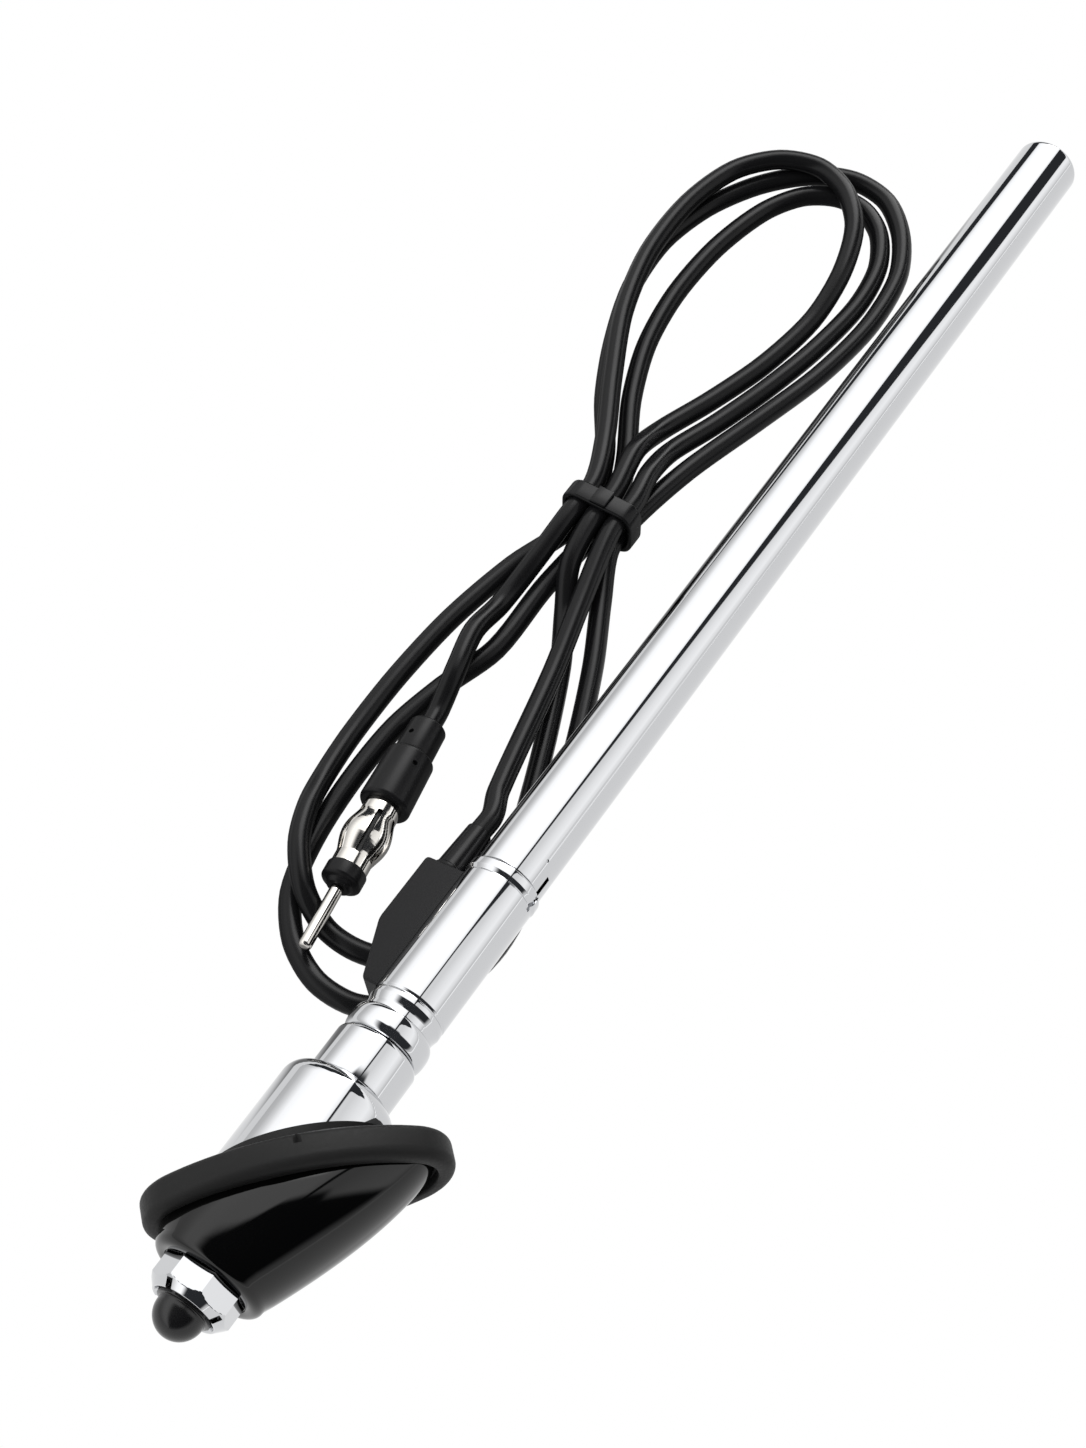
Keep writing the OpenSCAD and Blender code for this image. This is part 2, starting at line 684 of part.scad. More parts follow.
// where the lead leaves the strain relief, and where it enters the plug
function from_laid(v) = [
    lay_x + v[0] * cos(tilt) + v[2] * sin(tilt),
    lay_y + v[1],
    rise - v[0] * sin(tilt) + v[2] * cos(tilt)];
function from_plug(s) = [
    plug_x + s * cos(plug_dip) * cos(plug_turn),
    plug_y + s * cos(plug_dip) * sin(plug_turn),
    plug_z - s * sin(plug_dip)];
function from_relief(s) = from_laid([box_end + relief_l + s, lead_reach * cos(box_drop), -lead_reach * sin(box_drop)]);

// out of the box, through the tie, and round the first loop at the far end
lead_loop_1 = [
    [-48, 19.2, 11.2], [-14, 27, 7.8], [6, 32, 8.1], [25, 36.2, 9.4], [36, 36.2, 9.4],
    [46, 38.2, 7.8], [57, 38.8, 4.2], [71, 34.8, 2.6], [87, 30, 2.6], [104, 26.2, 2.6], [122, 24.2, 2.6],
    [136, 25.8, 2.6], [146.5, 31, 2.6], [152.2, 38.5, 2.6], [152.5, 46.5, 2.6], [148, 54, 2.6],
    [138, 59.8, 2.6], [121, 63.6, 2.6], [102, 64.2, 2.6], [84, 61.6, 2.6], [67, 55.6, 2.6], [50, 46.8, 2.6]];
// back through the tie, round the outer loop under the plug and the body, and through the tie again
lead_loop_2 = [
    [36, 41.6, 3.9], [25, 41.6, 3.9], [8, 43.4, 2.6], [-12, 43.4, 2.6], [-27, 47.8, 2.6], [-42, 50.8, 2.6],
    [-59, 51, 2.6], [-75, 49.4, 2.6], [-88.4, 45.8, 2.6], [-98, 38.4, 2.6], [-103.2, 29, 2.6], [-103.4, 19, 2.6],
    [-98, 10, 2.6], [-89, 4, 2.6], [-76, 1.6, 2.6], [-60, 3.6, 2.6], [-42, 8.4, 2.6], [-23, 14.8, 2.6],
    [-4, 22.4, 2.6], [12, 30.2, 2.6], [25, 36, 3.9]];
// round the widest loop at the far end
lead_loop_3 = [
    [36, 36, 3.9], [56, 33, 2.6], [78, 26.6, 2.6], [98, 21.2, 2.6], [118, 18.6, 2.6], [136, 20.1, 2.6],
    [149, 26, 2.6], [158, 35, 2.6], [160, 45.5, 2.6], [155.5, 56, 2.6], [145.5, 65.5, 2.6], [132, 72.5, 2.6],
    [116, 76, 2.6], [98, 74.6, 2.6], [80, 68.8, 2.6], [64, 61.4, 2.6], [50, 52.6, 2.6]];
// the inner loop under the plug
lead_loop_4 = [
    [36, 47.1, 3.9], [25, 47.1, 3.9], [10, 52.8, 2.6], [-10, 56.6, 2.6], [-30, 58, 2.6], [-48, 57.8, 2.6],
    [-61, 56.2, 3.8], [-71, 53.4, 6.8], [-80, 49.2, 8], [-88.2, 42.2, 7], [-91.8, 34.6, 2.8], [-92.6, 26, 2.6],
    [-90, 17.5, 2.6], [-83, 10.6, 2.6], [-73, 7.8, 2.6], [-60, 9.4, 2.6], [-44, 14.4, 2.6], [-26, 21, 2.6],
    [-8, 28.6, 2.6], [5, 35.6, 3], [14, 40, 7.4], [25, 41.6, 9.4]];
// the upper loop at the far end, back through the tie and into the plug
lead_loop_5 = [
    [36, 41.6, 9.4], [50, 44.4, 8.2], [62, 44.4, 3.6], [77, 39.4, 2.6], [94, 34.2, 2.6], [112, 31, 3.6],
    [127, 31.4, 6.4], [141, 35.6, 8], [150.5, 43.4, 8], [154.5, 53, 8], [151.5, 63, 8], [142, 71, 8],
    [126, 75, 8], [106, 74.6, 8], [86, 69.6, 8], [66, 60.6, 8], [50, 52.6, 8.4], [36, 47.1, 9.4],
    [25, 47.1, 9.4], [12, 47.6, 7], [-2, 48.6, 4.4], [-13, 48.4, 7.4], [-24, 45.8, 8.1]];
function beside(p) = [for (v = p) v + [beside_x, beside_y, 0]];
lead_route = concat([from_relief(seat), from_relief(5)], beside(lead_loop_1), beside(lead_loop_2),
    beside(lead_loop_3), beside(lead_loop_4), beside(lead_loop_5), [from_plug(tail_end + 5), from_plug(tail_end + seat)]);

// the lead is one tube swept along its route, with rings square to it
lead_sides = 8;
function unit(v) = v / norm(v);
function heading(p, i) = unit(p[min(i + 1, len(p) - 1)] - p[max(i - 1, 0)]);
function across(t) = unit(cross([0, 0, 1], t));
function ring(c, t, r, n) =
    let (u = across(t), w = cross(t, u))
    [for (k = [0:n - 1]) c + r * (u * cos(360 * k / n) + w * sin(360 * k / n))];

module swept(p, r, n) {
    rings = len(p);
    points = [for (i = [0:rings - 1]) each ring(p[i], heading(p, i), r, n)];
    sides = [for (i = [0:rings - 2]) for (k = [0:n - 1])
        [i * n + k, i * n + (k + 1) % n, (i + 1) * n + (k + 1) % n, (i + 1) * n + k]];
    start = [for (k = [n - 1:-1:0]) k];
    stop = [for (k = [0:n - 1]) (rings - 1) * n + k];
    polyhedron(points, concat([start], sides, [stop]), convexity = 12);
}

module lead() {
    color([0.05, 0.05, 0.05]) swept(lead_route, lead_d / 2, lead_sides);
}

tip_button();
mast_rod();
mast_bush_4();
mast_tube_3();
mast_bush_3();
mast_tube_2();
mast_bush_2();
mast_tube_1();
mast_foot();
gland_nut();
pedestal();
gasket();
cup_pad();
clamp_cup();
neck_sleeve();
threaded_neck();
top_guide();
body_tube();
outer_tube();
end_plug();
guide_tube();
insulator_bush();
contact_ring();
contact_strip();
cable_box();
box_lid();
strain_relief();
lead();
cable_tie();
plug_pin();
plug_insulator();
plug_barrel();
plug_boot();
plug_tail();
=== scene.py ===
"""A telescopic car mast aerial for a slanted wing, lying on a pale surface with its lead beside it.

Sizes and colours that a user would change are properties, in metres. The outlines in the operators
are points in millimetres. They are drawn about the mast's axis: the origin is where the gasket's back
face crosses it, X runs along the tube and the tip is at -X. place() then lays the aerial down.
"""

import math

import bpy
from mathutils import Matrix, Vector


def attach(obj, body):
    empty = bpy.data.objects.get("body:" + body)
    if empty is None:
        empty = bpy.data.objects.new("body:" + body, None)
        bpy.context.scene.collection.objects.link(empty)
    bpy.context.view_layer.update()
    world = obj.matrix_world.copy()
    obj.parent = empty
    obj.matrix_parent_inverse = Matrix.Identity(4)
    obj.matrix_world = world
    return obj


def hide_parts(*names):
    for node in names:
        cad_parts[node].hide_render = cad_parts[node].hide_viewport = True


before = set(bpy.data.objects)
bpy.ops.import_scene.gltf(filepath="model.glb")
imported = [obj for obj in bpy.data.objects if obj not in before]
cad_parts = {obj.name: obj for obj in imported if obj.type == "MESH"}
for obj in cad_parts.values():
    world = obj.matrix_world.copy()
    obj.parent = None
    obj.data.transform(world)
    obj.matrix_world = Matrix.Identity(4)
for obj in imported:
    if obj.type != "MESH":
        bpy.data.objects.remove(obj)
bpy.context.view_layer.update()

bl_info = {
    "name": "Car mast aerial",
    "version": (1, 0, 0),
    "blender": (4, 5, 0),
    "location": "View3D > Sidebar > Aerial",
    "description": "Models a telescopic car mast aerial with its lead and plug",
    "category": "Object",
}

MM = 0.001
WING = math.radians(45)  # the wing face to the mast's axis
BOX_DROP = 10  # degrees by which the cable box is turned down about the tube
SEAM = 164.2  # where the seam's notch is, in degrees about the tube
RELIEF_OUT = 12.3  # the strain relief's distance from the mast's axis
GASKET_POCKET = 2.2  # depth of the pocket that holds the pedestal
NECK_BORE = 7.6  # radius of the holes that the threaded neck passes
NUT_SEAT = -26  # station of the nut's seat on the pedestal
OVAL = 128  # how many points go round the gasket's outline


def length(name, description, default):
    """A length property, in metres."""
    return bpy.props.FloatProperty(
        name=name, description=description, default=default, unit="LENGTH", subtype="DISTANCE", precision=5
    )


def angle(name, description, degrees):
    """An angle property."""
    return bpy.props.FloatProperty(
        name=name, description=description, default=math.radians(degrees), unit="ROTATION", subtype="ANGLE"
    )


def colour(name, description, hex_colour):
    """A colour property, given as an sRGB hex string and kept linear."""
    return bpy.props.FloatVectorProperty(
        name=name, description=description, default=linear(hex_colour), subtype="COLOR", size=3, min=0, max=1
    )


def linear(hex_colour):
    """The linear colour of an sRGB hex string."""
    parts = [int(hex_colour[i : i + 2], 16) / 255 for i in (1, 3, 5)]
    return tuple(c / 12.92 if c <= 0.04045 else ((c + 0.055) / 1.055) ** 2.4 for c in parts)


class AERIAL_PG_place(bpy.types.PropertyGroup):
    """Where the aerial lies."""

    tilt: angle("Tilt", "How far the tube's far end is lower than its head", 1.57391)
    rise: length("Rise", "Height of the axis at the wing face", 0.0169994)
    along: length("Along", "Place of the wing face along the surface", -0.146331)
    aside: length("Aside", "Place of the axis across the surface", 0.00357089)
    plug_x: length("Plug X", "Place of the plug's pin end", -0.1005)
    plug_y: length("Plug Y", "Place of the plug's pin end", 0.03265089)
    plug_z: length("Plug Z", "Height of the plug's pin end", 0.0087)
    beside: length("Beside", "Shift of the lead's loops across the surface", -0.00084911)
    plug_turn: angle("Plug turn", "Turn of the plug on the surface", 9)
    plug_dip: angle("Plug dip", "How far the plug leans down to the surface", 2.9)


class AERIAL_PG_tubes(bpy.types.PropertyGroup):
    """Sizes of the chromed tubes."""

    tube_r: length("Tube radius", "Outer radius of the long tube", 0.0079)
    tube_end: length("Tube end", "Station of the long tube's far end", 0.333)
    lip_r: length("Lip radius", "Radius of the rolled lip", 0.0016)
    body_r: length("Body radius", "Outer radius of the body tube", 0.00835)
    body_end: length("Body end", "Station of the body tube's collar end", 0.0783)
    bead_r: length("Bead radius", "Outer radius of the rolled bead", 0.0092)
    sleeve_r: length("Sleeve radius", "Outer radius of the sleeve under the cup", 0.0093)
    cup_r: length("Cup radius", "Outer radius of the clamp cup", 0.0129)
    neck_r: length("Neck radius", "Radius of the threaded neck", 0.0075)


class AERIAL_PG_head(bpy.types.PropertyGroup):
    """Sizes of the head."""

    gasket_l: length("Gasket length", "Length of the gasket", 0.0616)
    gasket_w: length("Gasket width", "Width of the gasket", 0.034)
    gasket_t: length("Gasket thickness", "Thickness of the gasket", 0.007)
    gasket_end: length("Gasket end radius", "Radius of the gasket's ends", 0.012)
    gasket_shift: length("Gasket shift", "Offset of the gasket's middle from the mast", 0.0018)
    lip: length("Lip width", "Width of the gasket's raised lip", 0.0043)
    nose_r: length("Nose radius", "Radius of the pedestal's nose", 0.0125)
    nut_af: length("Nut across flats", "Width of the gland nut across its flats", 0.017)
    tip_r: length("Tip radius", "Radius of the tip button's dome", 0.00525)


class AERIAL_PG_lead(bpy.types.PropertyGroup):
    """Sizes of the lead, the cable box and the plug."""

    lead_r: length("Lead radius", "Radius of the lead", 0.0025)
    box_reach: length("Box reach", "Reach of the cable box from the axis", 0.0166)
    box_h: length("Box thickness", "Thickness of the cable box", 0.009)
    pin_r: length("Pin radius", "Radius of the plug's pin", 0.0015)
    pin_l: length("Pin length", "Visible length of the plug's pin", 0.016)
    barrel_r: length("Barrel radius", "Radius of the spring barrel at its ends", 0.0042)
    belly_r: length("Belly radius", "Radius of the spring barrel at its belly", 0.0055)
    boot_r: length("Boot radius", "Radius of the plug's sleeve", 0.0059)
    tie_w: length("Tie width", "Width of the tie", 0.005)


class AERIAL_PG_finish(bpy.types.PropertyGroup):
    """Colours of the materials."""

    chrome: colour("Chrome", "Decorative chromium plate", "#C9CACC")
    gloss_black: colour("Gloss black", "Polished moulded plastic", "#020202")
    rubber: colour("Rubber", "Moulded rubber", "#1A1A1A")
    satin_black: colour("Satin black", "Plain moulded plastic", "#161617")
    tip: colour("Tip", "Black nylon of the tip button", "#0B0B0C")
    jacket: colour("Jacket", "Extruded jacket of the lead", "#0F0F10")
    sleeve: colour("Sleeve", "Moulded sleeves of the plug", "#0F0F10")
    nickel: colour("Nickel", "Bright nickel plate", "#D0CDC8")
    steel: colour("Steel", "Drawn stainless steel", "#C6C5C2")
    brass: colour("Brass", "Turned brass", "#C8A45C")
    white: colour("Natural plastic", "Undyed moulded nylon", "#E6E1D2")


# places

def place():
    """The matrix that lays the aerial down."""
    p = bpy.context.scene.aerial_place
    return Matrix.Translation((p.along, p.aside, p.rise)) @ Matrix.Rotation(p.tilt, 4, "Y")


def rolled(at, degrees):
    """A place turned about its own X axis."""
    return at @ Matrix.Rotation(math.radians(degrees), 4, "X")


def box_place():
    """The matrix of the cable box and of the lead's start, whose Y runs out of the tube."""
    return rolled(place(), -BOX_DROP)


def plug_place():
    """The matrix of the plug, whose X runs from its pin to the lead."""
    p = bpy.context.scene.aerial_place
    turn = Matrix.Rotation(p.plug_turn, 4, "Z") @ Matrix.Rotation(p.plug_dip, 4, "Y")
    return Matrix.Translation((p.plug_x, p.plug_y, p.plug_z)) @ turn


def wing():
    """The matrix of the wing face: X along the gasket, Z out of the wing towards the tip."""
    h = bpy.context.scene.aerial_head
    turn = Matrix.Rotation(WING - math.pi / 2, 4, "Z") @ Matrix.Rotation(math.pi / 2, 4, "X")
    return turn @ Matrix.Translation((h.gasket_shift, 0, 0))


# modelling

def deselect():
    """Leaves nothing selected."""
    for o in bpy.context.selected_objects:
        o.select_set(False)


def only(obj):
    """Selects one object and makes it active."""
    deselect()
    obj.select_set(True)
    bpy.context.view_layer.objects.active = obj
    return obj


def ringed(name, rings, closed=False, smooth=30):
    """A skin through rings of points: a circle is extruded once for each ring, which is then set in place."""
    n = len(rings[0])
    deselect()
    bpy.ops.mesh.primitive_circle_add(vertices=n, radius=1)
    obj = bpy.context.object
    obj.name = name
    spots = obj.data.attributes.new("spot", "INT", "POINT")
    spots.data.foreach_set("value", list(range(n)))
    bpy.ops.object.mode_set(mode="EDIT")
    bpy.ops.mesh.select_all(action="SELECT")
    for _ in rings[1:]:
        bpy.ops.mesh.extrude_region_move(TRANSFORM_OT_translate={"value": (0, 0, 4)})
    bpy.ops.object.mode_set(mode="OBJECT")
    mesh = obj.data
    spot = [a.value for a in mesh.attributes["spot"].data]
    level = [round(v.co.z / 4) for v in mesh.vertices]
    last = len(rings) - 1

    def end_faces(levels, close):
        """Selects the open rings at these levels and closes them."""
        for e in mesh.edges:
            a, b = e.vertices
            e.select = level[a] == level[b] and level[a] in levels
        for v in mesh.vertices:
            v.select = level[v.index] in levels
        bpy.ops.object.mode_set(mode="EDIT")
        close()
        bpy.ops.mesh.select_all(action="DESELECT")
        bpy.ops.object.mode_set(mode="OBJECT")

    bpy.ops.object.mode_set(mode="EDIT")
    bpy.ops.mesh.select_mode(type="EDGE")
    bpy.ops.mesh.select_all(action="DESELECT")
    bpy.ops.object.mode_set(mode="OBJECT")
    if closed:
        end_faces((0, last), bpy.ops.mesh.bridge_edge_loops)
    else:
        end_faces((0,), bpy.ops.mesh.edge_face_add)
        end_faces((last,), bpy.ops.mesh.edge_face_add)
    for v in mesh.vertices:
        v.co = rings[level[v.index]][spot[v.index]]
    mesh.attributes.remove(mesh.attributes["spot"])
    return tidied(obj, smooth)


def tidied(obj, smooth=30):
    """Merges doubles, turns the faces outwards and shades smooth up to an angle."""
    only(obj)
    bpy.ops.object.mode_set(mode="EDIT")
    bpy.ops.mesh.select_mode(type="VERT")
    bpy.ops.mesh.select_all(action="SELECT")
    bpy.ops.mesh.remove_doubles(threshold=1e-6)
    bpy.ops.mesh.normals_make_consistent(inside=False)
    bpy.ops.object.mode_set(mode="OBJECT")
    bpy.ops.object.shade_smooth_by_angle(angle=math.radians(smooth))
    return obj


def softened(points, radius, steps=3):
    """A line of points in millimetres with each inner corner rounded."""
    out = [points[0]]
    for a, b, c in zip(points, points[1:], points[2:]):
        p, q, r = Vector(a), Vector(b), Vector(c)
        into, away = (q - p).length, (r - q).length
        if min(into, away) < 1e-6:
            continue
        cut = min(radius, into * 0.45, away * 0.45)
        start, end = q + (p - q) * (cut / into), q + (r - q) * (cut / away)
        for k in range(steps + 1):
            t = k / steps
            out.append(tuple(start * (1 - t) ** 2 + q * (2 * t * (1 - t)) + end * t**2))
    return out + [points[-1]]


def arc(x, y, r, start, end, steps):
    """Points of an arc, angles in degrees."""
    turn = [math.radians(start + (end - start) * k / steps) for k in range(steps + 1)]
    return [(x + r * math.cos(a), y + r * math.sin(a)) for a in turn]


def around(x, r, a):
    """A point about the X axis at a station and a radius in millimetres, and an angle."""
    return Vector((x, r * math.cos(a), r * math.sin(a))) * MM


def turned(name, line, at=None, sides=96, soft=0.25, closed=False, smooth=30):
    """A piece turned about X from a line of (station, radius) in millimetres."""
    at = place() if at is None else at
    line = softened(line, soft) if soft else line
    angles = [2 * math.pi * k / sides for k in range(sides)]
    rings = [[at @ around(x, r, a) for a in angles] for x, r in line]
    return ringed(name, rings, closed=closed, smooth=smooth)


def pipe(name, outer, inner_r, **how):
    """A turned tube: an outer line and one bore."""
    line = [(outer[0][0], inner_r)] + list(outer) + [(outer[-1][0], inner_r)]
    return turned(name, line, closed=True, **how)


def cut_by(obj, cutter, smooth=30):
    """Cuts the cutter out of obj and removes the cutter."""
    only(obj)
    mod = obj.modifiers.new("Cut", "BOOLEAN")
    mod.operation = "DIFFERENCE"
    mod.solver = "EXACT"
    mod.object = cutter
    bpy.ops.object.modifier_apply(modifier=mod.name)
    bpy.data.objects.remove(cutter, do_unlink=True)
    return tidied(obj, smooth)


def block(low, high, at):
    """A cube between two corners in millimetres."""
    deselect()
    bpy.ops.mesh.primitive_cube_add(size=1)
    obj = bpy.context.object
    low, high = Vector(low) * MM, Vector(high) * MM
    size = high - low
    middle = (high + low) / 2
    for v in obj.data.vertices:
        v.co = at @ (middle + Vector((v.co.x * size.x, v.co.y * size.y, v.co.z * size.z)))
    return obj


def drill(x, y, z, r, depth, at):
    """A round cutter along Z, centred on a point in millimetres."""
    deselect()
    bpy.ops.mesh.primitive_cylinder_add(vertices=24, radius=r * MM, depth=depth * MM)
    obj = bpy.context.object
    for v in obj.data.vertices:
        v.co = at @ (v.co + Vector((x, y, z)) * MM)
    return obj


def bisected(obj, point, normal, inner=False):
    """Cuts obj off at a plane and closes it. The side the normal points to goes, or with inner the other."""
    only(obj)
    bpy.ops.object.mode_set(mode="EDIT")
    bpy.ops.mesh.select_all(action="SELECT")
    bpy.ops.mesh.bisect(
        plane_co=point, plane_no=normal, use_fill=True, clear_outer=not inner, clear_inner=inner,
        threshold=1e-6,
    )
    bpy.ops.object.mode_set(mode="OBJECT")
    return tidied(obj)


def finished(piece, finish, node, body="base"):
    """Gives a piece its finish, the node it stands for and its body."""
    piece.data.materials.clear()
    piece.data.materials.append(material(finish))
    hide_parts(node)
    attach(piece, body)


# materials

def add(tree, kind, x=0, y=0, ins=None, links=None, **settings):
    """Adds a shader node with its settings, socket values and links."""
    node = tree.nodes.new(kind)
    node.location = (x, y)
    for key, value in settings.items():
        setattr(node, key, value)
    for key, value in (ins or {}).items():
        node.inputs[key].default_value = value
    for key, source in (links or {}).items():
        tree.links.new(source, node.inputs[key])
    return node


# A finish is the material's name, metallic, roughness, IOR, specular level and grain, and its comment says
# what it gives the eye. A grain is its size and height in millimetres and its spread of roughness. The real
# grains are near 0.1 mm on the rubber and 0.05 mm on the plastic, and are drawn coarser so that they show.
FINISHES = {
    # plated over polished steel: a mirror, with crisp streaks from the studio
    "chrome": ("Chrome, electroplated", 1.0, 0.035, None, 0.5, None),
    # near black, with clear pale reflections on its slopes
    "gloss_black": ("ABS plastic, polished", 0.0, 0.06, 1.54, 0.35, None),
    # a dull dark grey that catches a broad soft sheen
    "rubber": ("EPDM rubber, moulded", 0.0, 0.5, 1.5, 0.15, (0.6, 0.02, 0.06)),
    # even dark grey faces with soft edges
    "satin_black": ("ABS plastic, textured", 0.0, 0.42, 1.54, 0.12, (0.3, 0.01, 0.04)),
    # smooth and dyed black, with a soft highlight on one side
    "tip": ("Nylon, moulded black", 0.0, 0.22, 1.53, 0.4, None),
    # black with a long soft highlight
    "jacket": ("PVC, extruded", 0.0, 0.25, 1.53, 0.13, None),
    # a black a little duller than the lead
    "sleeve": ("PVC, moulded", 0.0, 0.34, 1.53, 0.14, None),
    # plated on spring brass: bright and slightly warm
    "nickel": ("Nickel, plated", 1.0, 0.1, None, 0.5, None),
    # bright, with a slight haze along it
    "steel": ("Stainless steel, drawn", 1.0, 0.16, None, 0.5, None),
    # a warm yellow, with soft reflections
    "brass": ("Brass, turned", 1.0, 0.25, None, 0.5, None),
    # a milky white, with a soft highlight
    "white": ("Nylon, moulded", 0.0, 0.4, 1.53, 0.5, None),
}


def material(finish):
    """The material of a finish, made once."""
    name, metallic, roughness, ior, specular, grain = FINISHES[finish]
    if name in bpy.data.materials:
        return bpy.data.materials[name]
    mat = bpy.data.materials.new(name)
    mat.use_nodes = True
    tree = mat.node_tree
    tree.nodes.clear()
    base = getattr(bpy.context.scene.aerial_finish, finish)
    values = {"Base Color": (*base, 1), "Metallic": metallic, "Roughness": roughness}
    values["Specular IOR Level"] = specular
    if not metallic:
        values["IOR"] = ior
    shader = add(tree, "ShaderNodeBsdfPrincipled", 300, 0, values)
    if grain:
        size, height, spread = grain
        where = add(tree, "ShaderNodeTexCoord", -900, 0).outputs["Object"]
        noise = add(
            tree, "ShaderNodeTexNoise", -700, 0, {"Scale": 1 / (size * MM), "Detail": 3.0}, {"Vector": where}
        ).outputs["Fac"]
        change = add(
            tree, "ShaderNodeMapRange", -300, 150,
            {"From Min": 0.3, "From Max": 0.7, "To Min": roughness - spread, "To Max": roughness + spread},
            {"Value": noise},
        )
        bump = add(
            tree, "ShaderNodeBump", 0, -250, {"Strength": 0.6, "Distance": height * MM}, {"Height": noise}
        )
        tree.links.new(change.outputs["Result"], shader.inputs["Roughness"])
        tree.links.new(bump.outputs["Normal"], shader.inputs["Normal"])
    add(tree, "ShaderNodeOutputMaterial", 600, 0, links={"Surface": shader.outputs["BSDF"]})
    return mat


# outlines of the head

def oval(i, inset):
    """Point i on the gasket's outline of four arcs, drawn inside it by inset, in millimetres."""
    h = bpy.context.scene.aerial_head
    half_l, half_w, r = h.gasket_l / 2 / MM, h.gasket_w / 2 / MM, h.gasket_end / MM
    s = ((half_l - r) ** 2 + half_w**2 - r * r) / (2 * half_w - 2 * r)
    c = half_l - r
    q = math.atan2(s - half_w, c)
    a = 2 * math.pi * i / OVAL
    quarter = int(a // (math.pi / 2)) % 4
    b = a - quarter * math.pi / 2
    if quarter in (1, 3):
        b = math.pi / 2 - b
    if b < q:
        x, y = c + (r - inset) * math.cos(b), (r - inset) * math.sin(b)
    else:
        x, y = (s - inset) * math.cos(b), (s - inset) * math.sin(b) - (s - half_w)
    return (-x if quarter in (1, 2) else x), (-y if quarter in (2, 3) else y)


def oval_ring(z, inset):
    """A ring of the gasket's outline at a height over the wing, in the aerial's own frame."""
    at = wing()
    spots = [oval(i, inset) for i in range(OVAL)]
    return [at @ Vector((x * MM, y * MM, z * MM)) for x, y in spots]


def bearing(i):
    """The angle about the axis that matches point i on the gasket's outline."""
    h = bpy.context.scene.aerial_head
    x, y = oval(i, 0)
    return math.atan2(y / h.gasket_w, -x / h.gasket_l)


def bore_ring(z, r):
    """A ring on a cylinder round the axis where it crosses a plane over the wing, matched to oval_ring."""
    out = []
    for i in range(OVAL):
        a = bearing(i)
        y = r * math.cos(a)
        out.append(Vector((-z * math.sqrt(2) - y, y, r * math.sin(a))) * MM)
    return out


def laid_rings(rings):
    """Rings moved from the aerial's own frame to where it lies."""
    at = place()
    return [[at @ v for v in ring] for ring in rings]


# operators

class AERIAL_OT_gasket(bpy.types.Operator):
    """Models the rubber gasket with its raised lip and its pocket"""

    bl_idname = "aerial.gasket"
    bl_label = "Gasket"

    def execute(self, context):
        h = context.scene.aerial_head
        t, lip = h.gasket_t / MM, h.lip / MM - 0.35
        floor = t - GASKET_POCKET
        edge = arc(1.65, 1.5, 1.5, 270, 180, 6)
        crown = arc(2.35, t - 2.2, 2.2, 180, 90, 10)
        inner = arc(lip - 0.6, t - 0.6, 0.6, 90, 0, 4)
        line = edge + crown + inner + [(lip, floor + 0.1), (lip + 0.1, floor)]
        rings = [oval_ring(z, inset) for inset, z in line]
        rings += [bore_ring(floor, NECK_BORE), bore_ring(0, NECK_BORE)]
        obj = ringed("Gasket", laid_rings(rings), closed=True, smooth=40)
        # a small nick in the middle of the long edge
        at = place() @ wing() @ Matrix.Translation((0.001, h.gasket_w / 2 - 0.001, 0))
        cut_by(obj, block((0, 0, -1), (1.8, 1.8, 2.4), at @ Matrix.Rotation(math.radians(45), 4, "Z")))
        finished(obj, "rubber", "gasket")
        return {"FINISHED"}


class AERIAL_OT_pedestal(bpy.types.Operator):
    """Models the glossy pedestal that leads from the slanted wing to the nut"""

    bl_idname = "aerial.pedestal"
    bl_label = "Pedestal"

    def execute(self, context):
        h = context.scene.aerial_head
        nose = h.nose_r / MM
        seat = h.gasket_t / MM - GASKET_POCKET + 0.05
        base = oval_ring(seat, h.lip / MM)
        angles = [bearing(i) for i in range(OVAL)]
        rings = [bore_ring(seat, NECK_BORE), base]
        top_x, steps = NUT_SEAT + 1.4, 22
        for j in range(1, steps + 1):
            t = j / steps
            ring = []
            for foot, a in zip(base, angles):
                p = foot.lerp(around(top_x, nose, a), t)
                # the nose swells most on the side where the wing slopes away
                full = 0.3 + 0.4 * abs(math.sin(a)) + 1.9 * max(0, -math.cos(a))
                swell = full * MM * math.sin(math.pi * t**0.8) ** 0.85
                side = Vector((0, p.y, p.z)).normalized()
                ring.append(p + side * swell)
            rings.append(ring)
        rim = [(-0.8, 9.75), (-0.7, 9.5), (-0.1, 9.45), (0, 9.35), (0, NECK_BORE + 0.1), (0.1, NECK_BORE)]
        line = arc(NUT_SEAT + 1.1, nose - 1.9, 1.9, 90, 180, 6)[1:] + [(NUT_SEAT + x, r) for x, r in rim]
        rings += [[around(x, r, a) for a in angles] for x, r in line]
        obj = ringed("Pedestal", laid_rings(rings), closed=True, smooth=35)
        finished(obj, "gloss_black", "pedestal")
        return {"FINISHED"}


